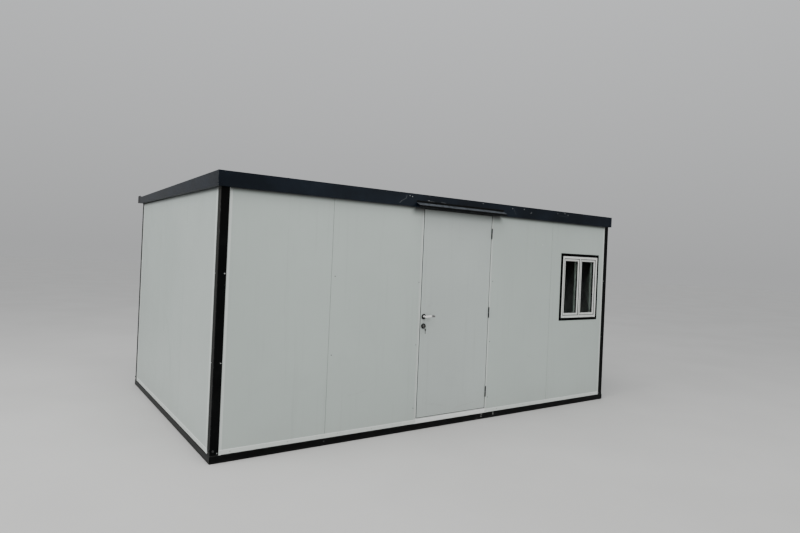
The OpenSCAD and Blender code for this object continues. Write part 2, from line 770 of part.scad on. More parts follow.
// Lift-off hinges: the lower halves with their pins on the jamb
module hinge_plate(side) {
    inner = side > 0 ? open_right - plate_t : leaf_right;
    block([inner, wall_front, -hinge_h / 2], [inner + plate_t, wall_front + plate_w, hinge_h / 2]);
}
module hinge_root(side, low, high) {
    inner = side > 0 ? open_right - plate_t : leaf_right;
    block([inner, hinge_y, low], [inner + plate_t, wall_front + 1, high]);
}
module hinge_frame_halves() {
    half = hinge_h / 2;
    pin_l = half - hinge_cap;
    color([0.12, 0.12, 0.12]) for (level = hinge_levels) translate([0, 0, leaf_foot + level]) {
        hinge_plate(1);
        hinge_root(1, -half, -seat_gap);
        translate([hinge_x, hinge_y, -half]) cylinder(r = barrel_r, h = half - seat_gap);
        translate([hinge_x, hinge_y, -half]) cylinder(r = pin_r, h = half + pin_l);
    }
}
module hinge_door_halves() {
    half = hinge_h / 2;
    color([0.12, 0.12, 0.12]) for (level = hinge_levels) translate([0, 0, leaf_foot + level]) {
        hinge_plate(-1);
        difference() {
            union() {
                hinge_root(-1, 0, half);
                translate([hinge_x, hinge_y, 0]) cylinder(r = barrel_r, h = half);
            }
            translate([hinge_x, hinge_y, -cut])
                cylinder(r = pin_r + pin_gap, h = half - hinge_cap + cut + seat_gap);
        }
    }
}

// Mortise lock: case in the leaf, face plate flush with its edge and the cylinder
module lock() {
    out = rose_t + cylinder_out;
    color([0.55, 0.55, 0.53]) {
        difference() {
            lock_body(0);
            translate([lever_axis_x, leaf_back, lever_axis_z]) rotate([90, 0, 0])
                cylinder(r = spindle_r + seat_gap, h = leaf_t);
        }
        translate([lever_axis_x, leaf_back + out, cylinder_z]) rotate([90, 0, 0])
            cylinder(r = cylinder_r, h = leaf_t + 2 * out);
    }
}

// Round roses behind the levers and round the cylinder, inside and out
module roses() {
    color([0.16, 0.16, 0.16]) for (z = [lever_axis_z, cylinder_z], face = [wall_front, leaf_back + rose_t])
        translate([lever_axis_x, face, z]) rotate([90, 0, 0]) difference() {
            cylinder(r = rose_r, h = rose_t);
            translate([0, 0, -1])
                cylinder(r = (z == cylinder_z ? cylinder_r : lever_r) + seat_gap, h = rose_t + 2);
        }
}

// One lever: a round neck, an elbow and a flat bar that waves in front and bends in plan
lever_body = lever_l - lever_end;
function bar_line(x) = lever_rise * sin(160 * x / lever_l);
function bar_half(x) = lever_h / 2 - lever_waist * sin(180 * x / lever_body);
function bar_depth(x) = lever_out - lever_return * pow(x / lever_l, 2);
module lever_front() {
    xs = [for (i = [0:bar_steps]) lever_body * i / bar_steps];
    end = [for (a = [15:15:75]) [lever_body + lever_end * sin(a), lever_h / 2 * cos(a)]];
    polygon(concat(
        [for (a = [255:-15:105]) [lever_h / 2 * cos(a), lever_h / 2 * sin(a)]],
        [for (x = xs) [x, bar_line(x) + bar_half(x)]],
        [for (p = end) [p[0], bar_line(p[0]) + p[1]]],
        [[lever_l, bar_line(lever_l)]],
        [for (i = [len(end) - 1:-1:0]) [end[i][0], bar_line(end[i][0]) - end[i][1]]],
        [for (i = [bar_steps:-1:0]) [xs[i], bar_line(xs[i]) - bar_half(xs[i])]]));
}
module lever_plan() {
    shoulder = lever_r + 1;
    inside = lever_out - lever_t / 2;
    outside = lever_out + lever_t / 2;
    xs = [for (i = [1:bar_steps]) shoulder + elbow_r + (lever_l - shoulder - elbow_r) * i / bar_steps];
    polygon(concat(
        [[shoulder, -inside + elbow_r], [-shoulder, -inside + elbow_r]],
        [for (a = [0:15:90]) [elbow_out * (1 - cos(a)) - shoulder, elbow_out * (1 - sin(a)) - outside]],
        [for (x = xs) [x, -bar_depth(x) - lever_t / 2]],
        [for (i = [bar_steps - 1:-1:0]) [xs[i], -bar_depth(xs[i]) + lever_t / 2]],
        [for (a = [0:15:75]) [shoulder + elbow_r - elbow_r * sin(a), elbow_r - inside - elbow_r * cos(a)]]));
}
module lever() {
    rotate([90, 0, 0]) cylinder(r = lever_r, h = lever_out);
    intersection() {
        rotate([90, 0, 0]) linear_extrude(lever_out + lever_t) lever_front();
        translate([0, 0, -2 * lever_h]) linear_extrude(4 * lever_h) lever_plan();
    }
}
module lever_handles() {
    color([0.75, 0.75, 0.74]) {
        translate([lever_axis_x, wall_front - seat_gap, lever_axis_z]) lever();
        translate([lever_axis_x, leaf_back + seat_gap, lever_axis_z]) mirror([0, 1, 0]) lever();
        translate([lever_axis_x, leaf_back + 1, lever_axis_z]) rotate([90, 0, 0])
            cylinder(r = spindle_r, h = leaf_t + 2);
    }
}

// Keys: one in the cylinder, a ring through its bow and a second key hanging on it
function key_end(blade) = -blade - 2 * bow_r + key_rim;
function key_hole_at(blade) = key_end(blade) + key_rim + key_hole_r;
module key(blade) {
    difference() {
        union() {
            block([-key_t / 2, -blade, -key_blade_w / 2], [key_t / 2, 0, key_blade_w / 2]);
            translate([-key_t / 2, key_end(blade) + bow_r, 0]) rotate([0, 90, 0])
                cylinder(r = bow_r, h = key_t);
        }
        translate([-key_t, key_hole_at(blade), 0]) rotate([0, 90, 0]) cylinder(r = key_hole_r, h = 2 * key_t);
    }
}
module keys() {
    face = wall_front - rose_t - cylinder_out;
    hole_y = key_hole_at(key_blades[0]);
    slack = key_hole_r - ring_wire - seat_gap;
    color([0.3, 0.3, 0.29]) translate([lever_axis_x, face, cylinder_z]) {
        key(key_blades[0]);
        translate([0, hole_y, -ring_r - slack]) rotate([90, 0, 0]) rotate_extrude()
            translate([ring_r, 0]) circle(r = ring_wire, $fn = 24);
        translate([0, hole_y, -2 * (ring_r + slack)]) rotate([-90, 0, 0])
            translate([0, -key_hole_at(key_blades[1]), 0]) key(key_blades[1]);
    }
}

// A rectangular frame with mitred corners, centred on the origin in X and Z. Its child is
// the section: x is the depth from the front, y the distance in from the outer edge
module mitred(w, h) {
    deep = 300;
    reach = min(w, h) / 2 - 1;
    for (turn = [0:3]) {
        long = turn % 2 == 0 ? w : h;
        cross = turn % 2 == 0 ? h : w;
        rotate([0, turn * 90, 0]) translate([-long / 2, 0, -cross / 2]) intersection() {
            rotate([90, 0, 90]) linear_extrude(long) children();
            translate([0, deep / 2, 0]) rotate([90, 0, 0]) linear_extrude(deep)
                polygon([[0, 0], [long, 0], [long - reach, reach], [reach, reach]]);
        }
    }
}
module at_window() {
    translate([(frame_left + frame_right) / 2, frame_front, frame_foot + window_h / 2]) children();
}
module at_sashes() {
    at_window() for (side = [-1, 1]) translate([side * (sash_w + mullion_w) / 2, 0, 0]) children();
}

// Fixed frame and mullion, bevelled towards the sashes
module window_frame() {
    bevel = 3;
    half = mullion_w / 2;
    color("white") at_window() {
        mitred(window_w, window_h) polygon([[0, 0], [window_t, 0], [window_t, window_face],
            [bevel, window_face], [0, window_face - bevel]]);
        translate([0, 0, window_face - window_h / 2]) linear_extrude(sash_h)
            polygon([[-half, bevel], [-half + bevel, 0], [half - bevel, 0], [half, bevel],
                [half, window_t], [-half, window_t]]);
    }
}

// Sashes open inwards: a flange behind laps the frame, a lip and a bead hold the glass
module sash_section() {
    back = window_t + sash_lap_t;
    slope = 3;
    polygon([[sash_back, sash_gap], [sash_back, sash_face - slope], [sash_back + slope, sash_face],
        [glass_v, sash_face], [glass_v, sash_face - glass_hold],
        [glass_v + glass_t, sash_face - glass_hold], [glass_v + glass_t, sash_face],
        [back - slope, sash_face], [back, sash_face - slope], [back, -sash_lap],
        [window_t, -sash_lap], [window_t, sash_gap]]);
}
module window_sashes() {
    color("white") at_sashes() mitred(sash_w, sash_h) sash_section();
}

// Two panes in each sash and the dark spacer between them
module window_glass() {
    w = sash_w - 2 * (sash_face - glass_hold + glass_gap);
    h = sash_h - 2 * (sash_face - glass_hold + glass_gap);
    color([0.6, 0.7, 0.7, 0.4]) at_sashes() for (v = [glass_v, glass_v + pane_t + pane_space])
        block([-w / 2, v, -h / 2], [w / 2, v + pane_t, h / 2]);
}
module glass_spacers() {
    w = sash_w - 2 * (sash_face - glass_hold + glass_gap + 1);
    h = sash_h - 2 * (sash_face - glass_hold + glass_gap + 1);
    color([0.05, 0.05, 0.05]) at_sashes() mitred(w, h)
        polygon([[glass_v + pane_t, 0], [glass_v + pane_t + pane_space, 0],
            [glass_v + pane_t + pane_space, glass_hold], [glass_v + pane_t, glass_hold]]);
}

// Handle on the inner face of the left sash, beside the mullion
module sash_handle() {
    back = window_t + sash_lap_t;
    x = -mullion_w / 2 - sash_face / 2;
    z = sash_handle_z - window_h / 2;
    color("white") at_window() translate([x, back, z]) {
        block([-handle_base[0] / 2, 0, -handle_base[2] / 2],
            [handle_base[0] / 2, handle_base[1], handle_base[2] / 2]);
        rotate([-90, 0, 0]) cylinder(r = handle_neck_r, h = handle_base[1] + handle_neck);
        block([-handle_grip[0] / 2, handle_base[1] + handle_neck - handle_grip[1], -handle_grip[2]],
            [handle_grip[0] / 2, handle_base[1] + handle_neck, 0]);
    }
}

// Black casing on the outer face of the wall and a plain one on the inner face
module window_casings() {
    edge = 2;
    color([0.05, 0.05, 0.05]) translate([0, wall_front - frame_front, 0]) at_window()
        mitred(window_w + 2 * casing_w, window_h + 2 * casing_w)
            polygon([[0, 0], [0, casing_w], [-casing_t, casing_w], [-casing_t, edge], [edge - casing_t, 0]]);
    color("white") translate([0, wall_front + wall_t - frame_front, 0]) at_window()
        mitred(window_w + 2 * casing_w, window_h + 2 * casing_w)
            polygon([[0, 0], [inner_casing_t - edge, 0], [inner_casing_t, edge], [inner_casing_t, casing_w],
                [0, casing_w]]);
}

base_rails_long();
base_rails_end();
floor_joists();
floor_deck();
corner_post_front_left();
corner_post_front_right();
corner_post_rear_left();
corner_post_rear_right();
front_panel_1();
front_panel_2();
front_panel_3();
front_panel_4();
left_wall_panels();
right_wall_panels();
rear_wall_panels();
bottom_tracks();
edge_trims();
ceiling_angles();
top_beam_front();
top_beam_rear();
top_beams_end();
roof_panels();
fascia_front();
fascia_left();
fascia_right();
fascia_covers();
rear_gutter();
drip_cap();
door_leaf();
door_jamb_left();
door_jamb_right();
door_head();
door_threshold();
hinge_frame_halves();
hinge_door_halves();
lock();
roses();
lever_handles();
keys();
window_casings();
window_frame();
window_sashes();
window_glass();
glass_spacers();
sash_handle();
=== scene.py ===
import json
import math

import bmesh
import bpy
from mathutils import Matrix, Vector


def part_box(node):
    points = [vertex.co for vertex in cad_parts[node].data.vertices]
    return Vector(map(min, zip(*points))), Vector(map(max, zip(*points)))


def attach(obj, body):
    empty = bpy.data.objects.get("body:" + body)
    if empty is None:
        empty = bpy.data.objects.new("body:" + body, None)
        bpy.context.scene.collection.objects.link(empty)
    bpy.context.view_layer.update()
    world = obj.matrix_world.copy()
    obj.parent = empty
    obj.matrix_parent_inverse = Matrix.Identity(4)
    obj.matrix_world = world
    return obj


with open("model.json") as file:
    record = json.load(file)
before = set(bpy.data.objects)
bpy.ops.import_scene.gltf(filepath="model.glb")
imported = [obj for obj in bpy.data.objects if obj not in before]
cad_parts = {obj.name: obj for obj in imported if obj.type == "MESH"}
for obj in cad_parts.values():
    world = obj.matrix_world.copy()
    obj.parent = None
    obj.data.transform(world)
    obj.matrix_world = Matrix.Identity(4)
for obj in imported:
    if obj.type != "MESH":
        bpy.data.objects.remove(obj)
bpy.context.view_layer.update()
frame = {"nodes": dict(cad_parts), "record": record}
nodes = frame["nodes"]
scene = bpy.context.scene


# Places taken from the CAD nodes
track_low, track_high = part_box("bottom_tracks")
post_low, post_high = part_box("corner_post_front_left")
leaf_low, leaf_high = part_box("door_leaf")
head_low, head_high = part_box("door_head")
jamb_left, jamb_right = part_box("door_jamb_left"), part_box("door_jamb_right")
lever_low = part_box("lever_handles")[0]
frame_low, frame_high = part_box("window_frame")
glass_low, glass_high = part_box("window_glass")
case_low, case_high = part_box("window_casings")
cap_low, cap_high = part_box("drip_cap")
fascia_low, fascia_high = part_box("fascia_front")
wall_front, wall_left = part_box("front_panel_1")[0][1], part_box("left_wall_panels")[0][0]
base_x, base_y, rail_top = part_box("base_rails_long")[1]
joist_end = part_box("floor_joists")[1][1]
rail_w = base_y - joist_end
face_x, face_y, top_z = -post_low[0], -post_low[1], post_high[2]
inner_x, inner_y = -post_high[0], -post_high[1]
front_y, fascia_foot, fascia_top = fascia_low[1], fascia_low[2], fascia_high[2]
open_left, open_right = head_low[0], head_high[0]

# Sizes that the boxes of the nodes don't give
joist_w, joist_bays, panel_pitch = 0.05, 10, 0.95
stop_w, rim_w, sash_w, bar_w = 0.015, 0.029, 0.028, 0.018
roof_fall, fascia_rise = 0.024 / 2.96, 0.022 / 2.99

# Signs of the four corners, and the faces that look along X and Y
CORNERS = [(a, b) for a in (-1, 1) for b in (-1, 1)]
FACE_X, FACE_Y = {-1: "left", 1: "right"}, {-1: "front", 1: "rear"}


# Camera at the photograph's place, fitted to the cabin's edges
def make_camera():
    photo_width, focal_pixels, shift = 800, 572.34, -0.01305
    place, yaw, pitch, roll = (-3.7426, -5.8376, 1.6359), -0.6066, 0.0023, 0.0437
    forward = Vector((-math.sin(yaw) * math.cos(pitch), math.cos(yaw) * math.cos(pitch), math.sin(pitch)))
    right = Vector((math.cos(yaw), math.sin(yaw), 0))
    up = right.cross(forward)
    right_r = math.cos(roll) * right + math.sin(roll) * up
    up_r = -math.sin(roll) * right + math.cos(roll) * up
    data = bpy.data.cameras.new("camera")
    data.sensor_width = 36
    data.lens = data.sensor_width * focal_pixels / photo_width
    data.shift_y = shift
    data.clip_start, data.clip_end = 0.05, 200
    camera = bpy.data.objects.new("camera", data)
    turn = Matrix((right_r, up_r, -forward)).transposed().to_4x4()
    camera.matrix_world = Matrix.Translation(place) @ turn
    scene.collection.objects.link(camera)
    scene.camera = camera


# Finished materials by name, and colours that more than one of them has
paints = {}
BLACK, JET, GREY_DUST = (0.0018, 0.0021, 0.0021), (0.0015, 0.0015, 0.0016), (0.13, 0.128, 0.118)


class Paint:
    """Node material."""

    def __init__(self, name):
        paints[name] = bpy.data.materials.new(name)
        paints[name].use_nodes = True
        self.tree = paints[name].node_tree
        self.tree.nodes.clear()
        out = self.tree.nodes.new("ShaderNodeOutputMaterial")
        self.shader = self.tree.nodes.new("ShaderNodeBsdfPrincipled")
        self.tree.links.new(self.shader.outputs[0], out.inputs[0])
        self.coords = self.tree.nodes.new("ShaderNodeTexCoord").outputs["Object"]
        self.xyz = self.node("ShaderNodeSeparateXYZ", [self.coords]).outputs
        self.colour = None

    def feed(self, socket, value):
        """Links a socket, or sets a constant value. None leaves the input as it is."""
        if isinstance(value, bpy.types.NodeSocket):
            self.tree.links.new(value, socket)
        elif value is not None:
            socket.default_value = value

    def node(self, kind, inputs=(), **settings):
        """Adds a node with inputs by place, in a list, or by key, in a dictionary."""
        made = self.tree.nodes.new(kind)
        for key, value in settings.items():
            setattr(made, key, value)
        for key, value in inputs.items() if isinstance(inputs, dict) else enumerate(inputs):
            self.feed(made.inputs[key], value)
        return made

    def set(self, name, value):
        self.feed(self.shader.inputs[name], value)

    def finish(self, rough, normal=None):
        self.set("Base Color", self.colour)
        self.set("Roughness", rough)
        self.set("Normal", normal)

    def math(self, operation, a, b=0.0, clamp=False):
        return self.node("ShaderNodeMath", [a, b], operation=operation, use_clamp=clamp).outputs[0]

    def vector(self, operation, inputs, output=0):
        return self.node("ShaderNodeVectorMath", inputs, operation=operation).outputs[output]

    def add(self, a, b):
        return self.math("ADD", a, b)

    def less(self, a, b):
        return self.math("SUBTRACT", a, b)

    def times(self, a, b):
        return self.math("MULTIPLY", a, b)

    def most(self, a, b):
        return self.math("MAXIMUM", a, b)

    def size(self, value):
        return self.math("ABSOLUTE", value)

    def scaled(self, vector, share):
        return self.vector("SCALE", [vector, None, None, share])

    def stretched(self, scale):
        return self.vector("MULTIPLY", [self.coords, scale])

    def noise(self, scale, detail=3.0, rough=0.55, stretch=None, distort=0.0):
        place = self.stretched(stretch) if stretch else self.coords
        return self.node("ShaderNodeTexNoise", {
            "Vector": place, "Scale": scale, "Detail": detail, "Roughness": rough,
            "Distortion": distort}).outputs["Fac"]

    def cells(self, scale):
        return self.node("ShaderNodeTexVoronoi", {"Vector": self.coords, "Scale": scale}).outputs["Distance"]

    def between(self, value, low, high, to_low=0.0, to_high=1.0, kind="SMOOTHSTEP"):
        inputs = [value, low, high, to_low, to_high]
        return self.node("ShaderNodeMapRange", inputs, interpolation_type=kind).outputs[0]

    def fade(self, value, low, high, most=1.0):
        """Falls from its most at a low value to 0 at a high one."""
        return self.between(value, low, high, most, 0)

    def inside(self, value, low, high, soft=0.0002):
        """1 between two places, with short soft ends."""
        rise = self.between(value, low - soft, low + soft, kind="LINEAR")
        return self.times(rise, self.between(value, high - soft, high + soft, 1, 0, kind="LINEAR"))

    def upright(self):
        """How far a face looks up: 1 for a level face, -1 for one that looks down."""
        normal = self.node("ShaderNodeNewGeometry").outputs["Normal"]
        return self.node("ShaderNodeSeparateXYZ", [normal]).outputs[2]

    def mix(self, share, a, b):
        a, b = [c if isinstance(c, bpy.types.NodeSocket) else (*c, 1) for c in (a, b)]
        inputs = {0: share, 6: a, 7: b}
        return self.node("ShaderNodeMix", inputs, data_type="RGBA", clamp_factor=True).outputs[2]

    def lay(self, share, colour):
        """Lays a colour over the layers so far."""
        self.colour = self.mix(share, self.colour, colour)

    def mark(self, kind, x0, z0, x1, z1, width, share):
        """Lays a mark on a straight line in x and z, whatever the depth."""
        tone, whole, grain, low = kind
        start, end = Vector((x0, 0, z0)), Vector((x1, 0, z1))
        run = end - start
        here = self.vector("SUBTRACT", [self.stretched((1, 0, 1)), start])
        along = self.vector("DOT_PRODUCT", [here, run / run.length_squared], "Value")
        foot = self.scaled(run, self.math("ADD", along, clamp=True))
        line = self.fade(self.vector("DISTANCE", [here, foot], "Value"), width * 0.2, width)
        broken = self.between(self.noise(grain, 4, 0.7), low, 0.6, whole, 1)
        self.lay(self.times(self.times(line, broken), share), tone)

    def bump(self, height, distance, strength, normal=None):
        inputs = {"Strength": strength, "Distance": distance, "Height": height, "Normal": normal}
        return self.node("ShaderNodeBump", inputs).outputs[0]


def shade(colour, share):
    return [min(1, c * share) for c in colour]


def outer_faces(p):
    """1 on the outer faces of the walls."""
    front = p.between(p.size(p.xyz[1]), -wall_front - 0.006, -wall_front - 0.004)
    return p.most(front, p.between(p.size(p.xyz[0]), -wall_left - 0.006, -wall_left - 0.004))


def eaves_shade(p, depth):
    """Share of light left by painted shade under the fascia, less under the drip cap."""
    eaves_drop, cap_drop = 0.042, 0.105
    line = p.add(fascia_foot - front_y * fascia_rise, p.times(p.xyz[1], fascia_rise))
    below = p.less(line, p.xyz[2])
    eaves = p.fade(below, 0.0, eaves_drop, 0.9)
    middle, half = (cap_low[0] + cap_high[0]) / 2, (cap_high[0] - cap_low[0]) / 2
    under = p.fade(p.size(p.less(p.xyz[0], middle)), half - 0.03, half + 0.05)
    front = p.fade(p.xyz[1], wall_front + 0.1, wall_front + 0.2)
    cap = p.times(p.times(under, front), p.fade(below, 0.002, cap_drop, 0.97))
    return p.less(1.0, p.times(p.times(p.most(eaves, cap), depth), outer_faces(p)))


def joint_shade(p):
    """1 in the joints between panels, behind their rolled edges, where shade is painted."""
    joints = []
    for across, along, wall, end in ((1, 0, -wall_front, inner_x), (0, 1, -wall_left, inner_y)):
        depth = p.inside(p.size(p.xyz[across]), wall - 0.03, wall - 0.0018)
        joints.append(p.times(depth, p.fade(p.size(p.xyz[along]), end, end + 0.002)))
    return p.most(*joints)


def leaf_shade(p):
    """1 on the edges of the door leaf and thin strips of its face at the left and the foot, where the shade
    of the gap round it is painted.
    """
    edge = 0.0022
    sides = p.inside(p.xyz[1], leaf_low[1] + edge, leaf_high[1] - edge)
    left = p.fade(p.xyz[0], leaf_low[0] + edge, leaf_low[0] + 0.0026)
    foot = p.fade(p.xyz[2], leaf_low[2] + 0.0018, leaf_low[2] + edge)
    return p.most(sides, p.most(left, foot))


def reveal_shade(p):
    """1 on the reveals of the door frame, between the wall's face and the stops, where shade is painted."""
    across = p.inside(p.xyz[0], open_left - 0.0014, open_right + 0.0014)
    return p.times(across, p.inside(p.xyz[1], wall_front + 0.0003, jamb_left[1][1] - 0.0015))


def panel_coat(name, base, dusty=1.0, gloss=0.27, runs=0.2, marks=(), painted_shade=None, tints_and_highlights=(), depth=1.0):
    """Smooth coated sheet: soft waves, faint runs, dust and splashes at the foot, with painted shade under
    the fascia and in joints and gaps.
    """
    p = Paint(name)
    p.colour = p.mix(p.between(p.noise(0.9, 3), 0.3, 0.7), shade(base, 0.965), shade(base, 1.03))
    # Bands of lighter or darker coat; on the trims some are painted highlights on edges
    for axis, low, high, share in tints_and_highlights:
        p.lay(p.inside(p.xyz[axis], low, high, 0.0004), shade(base, share))
    streaks = p.between(p.noise(3.2, 5, 0.62, stretch=(9, 9, 0.3)), 0.53, 0.8)
    p.lay(p.times(streaks, runs * dusty), shade(base, 0.62))
    smears = p.between(p.noise(2.3, 6, 0.6, distort=0.8), 0.58, 0.8)
    p.lay(p.times(smears, 0.14 * dusty), shade(base, 0.72))
    foot = p.fade(p.add(p.xyz[2], p.times(p.noise(5, 5), 0.3)), 0.12, 0.5)
    splash = p.times(p.fade(p.cells(95), 0.1, 0.2), p.between(p.noise(11, 3), 0.42, 0.6))
    dust = p.times(foot, p.add(0.2, p.times(splash, 0.6)))
    p.lay(p.times(dust, 0.55 * dusty), (0.36, 0.335, 0.295))
    p.lay(p.times(p.fade(p.cells(31), 0.03, 0.05), 0.35 * dusty), shade(base, 0.4))
    for row in marks:
        p.mark(*row)
    # Painted shade under the fascia and the drip cap darkens the outer faces of the walls
    if depth:
        p.colour = p.scaled(p.colour, eaves_shade(p, depth))
    # Near-black painted shade in the panel joints, on the door reveals and round the door leaf
    if painted_shade:
        p.lay(painted_shade(p), (0.012, 0.012, 0.012))
    grime = p.add(p.times(dust, 0.3), p.times(smears, 0.1))
    rough = p.add(p.add(gloss, p.times(p.noise(14, 4), 0.12)), grime)
    waves = p.bump(p.noise(1.7, 2, stretch=(1, 1, 0.8)), 0.006, 0.22)
    p.finish(rough, p.bump(p.noise(850, 2), 0.00004, 0.5, waves))


def dark_paint(name, base, level, gloss, film, chips, edges=(), marks=(), dust=GREY_DUST, foot=0.0, ends=0.0):
    """Dark paint on steel: dust on level faces, rubbed edges, small chips and marks at places. Given a
    sheen's colour as dust it paints a sheen on level faces, and ends paints a reflection that grows up the
    faces that look along X.
    """
    p = Paint(name)
    p.colour = p.mix(p.between(p.noise(3.5, 4), 0.35, 0.7), shade(base, 0.75), shade(base, 1.35))
    upward = p.between(p.upright(), 0.5, 0.95)
    lying = p.times(upward, p.between(p.noise(22, 6, 0.65), 0.3, 0.7, 0.3 * film, film))
    cover = p.most(lying, p.times(p.between(p.noise(7, 6, 0.7, distort=0.4), 0.52, 0.78), 0.05 * film))
    # A lighter coat growing towards the top on the faces that look along X: a painted reflection of the sky
    if ends:
        height = p.between(p.xyz[2], 0.2, 2.1, 0, ends, kind="LINEAR")
        painted_reflection_faces = p.between(p.size(p.xyz[0]), face_x - 0.004, face_x - 0.001)
        cover = p.most(cover, p.times(height, painted_reflection_faces))
    if foot:
        cover = p.most(cover, p.fade(p.add(p.xyz[2], p.times(p.noise(24, 6, 0.7), 0.03)), 0.018, 0.04, foot))
    # On the drip cap this lighter coat on level faces is a painted sheen
    p.lay(cover, dust)
    broken = p.between(p.noise(38, 8, 0.75, distort=0.6), 0.5, 0.66)
    rubbed = p.between(p.noise(30, 8, 0.75, stretch=(1, 1, 0.25), distort=1.2), 0.69, 0.74, 0, chips)
    for places, width, share in edges:
        line = broken
        for axis, place in places:
            here = p.xyz[axis] if axis == 2 else p.size(p.xyz[axis])
            line = p.times(line, p.fade(p.size(p.less(here, place)), 0, width))
        rubbed = p.most(rubbed, p.times(line, share))
    p.lay(rubbed, (0.2, 0.205, 0.205))
    for row in marks:
        p.mark(*row)
    p.set("Specular IOR Level", level)
    rough = p.math("ADD", p.add(gloss, p.times(p.noise(40, 4), 0.12)), p.times(cover, 0.5), clamp=True)
    p.finish(rough, p.bump(p.noise(420, 3), 0.00008, 0.6, p.bump(p.noise(7, 3), 0.0012, 0.25)))


UPRIGHT_GRAIN, LEVEL_GRAIN, EVEN_GRAIN = (300, 300, 6), (6, 300, 300), (200, 200, 200)


def metal(name, base, rough, grain=UPRIGHT_GRAIN, metallic=1.0, dark=0.5, lever=False):
    """Brushed or worn metal with fine scratches, and for the lever painted shade on its underside and a
    painted dark reflection at its end.
    """
    p = Paint(name)
    lines = p.noise(1, 4, 0.7, stretch=grain)
    p.colour = p.mix(p.between(p.noise(55, 5, 0.6), 0.4, 0.72), base, shade(base, dark))
    if lever:
        # Painted shade on the bar's underside and lower edge, and a painted dark reflection at its end
        foot = p.fade(p.xyz[2], lever_low[2] + 0.003, lever_low[2] + 0.008, 0.9)
        under = p.most(p.fade(p.upright(), -0.4, 0.1, 0.9), foot)
        tip = p.between(p.xyz[0], lever_low[0] + 0.0645, lever_low[0] + 0.0845)
        p.lay(p.most(under, p.times(tip, 0.8)), shade(base, 0.08))
        metallic = p.most(metallic, p.times(tip, 0.9))
    p.lay(p.fade(p.cells(420), 0.04, 0.1, 0.35), shade(base, 0.3))
    p.set("Metallic", metallic)
    p.finish(p.add(rough, p.times(lines, 0.22)), p.bump(lines, 0.00006, 0.35))


def plastic(name, base, rough, dirt, dirt_colour=(0.36, 0.34, 0.3), grain=500, level=0.5):
    """Moulded plastic or rubber: fine grain and a little dirt."""
    p = Paint(name)
    p.colour = p.mix(p.between(p.noise(6, 4), 0.35, 0.68), base, shade(base, 0.9))
    lying = p.between(p.noise(60, 4), 0.3, 0.6, 0.5 * dirt, 2 * dirt)
    film = p.times(p.between(p.noise(34, 6, 0.7), 0.48, 0.72), dirt)
    film = p.most(film, p.times(p.between(p.upright(), 0.5, 0.95), lying))
    p.lay(film, dirt_colour)
    p.set("Specular IOR Level", level)
    worn = p.add(p.times(p.noise(60, 3), 0.14), p.times(film, 0.3))
    p.finish(p.add(rough, worn), p.bump(p.noise(grain, 2), 0.00005, 0.5))


def glass_paint(name):
    """Float glass with a thin film of dust towards its foot."""
    p = Paint(name)
    p.colour = p.mix(p.between(p.noise(9, 4), 0.4, 0.7), (0.88, 0.92, 0.9), (0.84, 0.88, 0.86))
    p.set("IOR", 1.04)
    low = p.fade(p.add(p.xyz[2], p.times(p.noise(6, 4), 0.1)), 1.2, 1.74)
    film = p.times(low, p.between(p.noise(30, 6, 0.7), 0.35, 0.75, 0.004, 0.012))
    p.set("Transmission Weight", p.less(1.0, film))
    p.finish(p.between(p.noise(18, 5, 0.7), 0.55, 0.8, 0.0, 0.08))


def floor_cover(name, base):
    """Sheet floor covering on board: fine flecks and worn lanes."""
    p = Paint(name)
    flecks = p.noise(240, 2, 0.8)
    p.colour = p.mix(p.between(flecks, 0.42, 0.6), shade(base, 0.86), shade(base, 1.12))
    worn = p.between(p.noise(1.6, 5, 0.6), 0.45, 0.7)
    p.lay(p.times(worn, 0.35), shade(base, 0.62))
    p.finish(p.add(0.42, p.times(worn, 0.3)), p.bump(flecks, 0.0002, 0.4))


# Kinds of marks: colour, least cover, scale of the grain that breaks them, and where the grain begins
SCUFF = ((0.19, 0.19, 0.19), 0, 60, 0.4)
RUB = ((0.8, 0.8, 0.8), 0, 60, 0.4)
# A painted glint: near-white and unbroken
PAINTED_GLINT = ((0.98, 0.98, 0.98), 1, 60, 0.4)
SCRATCH = ((0.2, 0.21, 0.215), 0.35, 90, 0.3)
CHIP = ((0.62, 0.62, 0.6), 0.8, 90, 0.3)

# Marks that show in the photograph: kind, x and z of both ends, width and strength
fascia_marks = [
    (SCRATCH, -0.693, 2.213, -0.699, 2.186, 0.003, 0.5),
    (SCRATCH, -0.699, 2.186, -0.749, 2.158, 0.0035, 0.45),
    (SCRATCH, -0.749, 2.158, -0.771, 2.139, 0.004, 0.6), (SCRATCH, 0.705, 2.206, 0.722, 2.176, 0.003, 0.35),
    (SCRATCH, 0.722, 2.176, 0.741, 2.146, 0.003, 0.3), (SCRATCH, -0.451, 2.184, -0.371, 2.179, 0.005, 0.3),
    (SCRATCH, -0.281, 2.184, -0.226, 2.18, 0.005, 0.35), (SCRATCH, -0.051, 2.174, -0.021, 2.171, 0.006, 0.4),
    (SCRATCH, 0.964, 2.174, 0.984, 2.189, 0.007, 0.4), (SCRATCH, 1.419, 2.188, 1.589, 2.184, 0.003, 0.15)]
rail_marks = [
    (CHIP, 0.385, 0.054, 0.392, 0.05, 0.005, 0.9), (CHIP, 0.383, 0.03, 0.39, 0.029, 0.005, 0.8),
    (CHIP, 0.552, 0.052, 0.556, 0.05, 0.005, 0.8), (CHIP, 0.553, 0.034, 0.558, 0.032, 0.006, 0.9),
    (SCRATCH, 0.321, 0.01, 0.332, 0.012, 0.005, 0.6), (SCRATCH, -1.434, 0.037, -1.426, 0.038, 0.004, 0.5)]
wall_marks = [
    (RUB, 1.215, 1.846, 1.228, 1.841, 0.012, 0.5), (SCUFF, 1.039, 0.62, 1.149, 0.58, 0.01, 0.12),
    (SCUFF, -1.211, 0.4, -1.031, 0.43, 0.012, 0.1)]
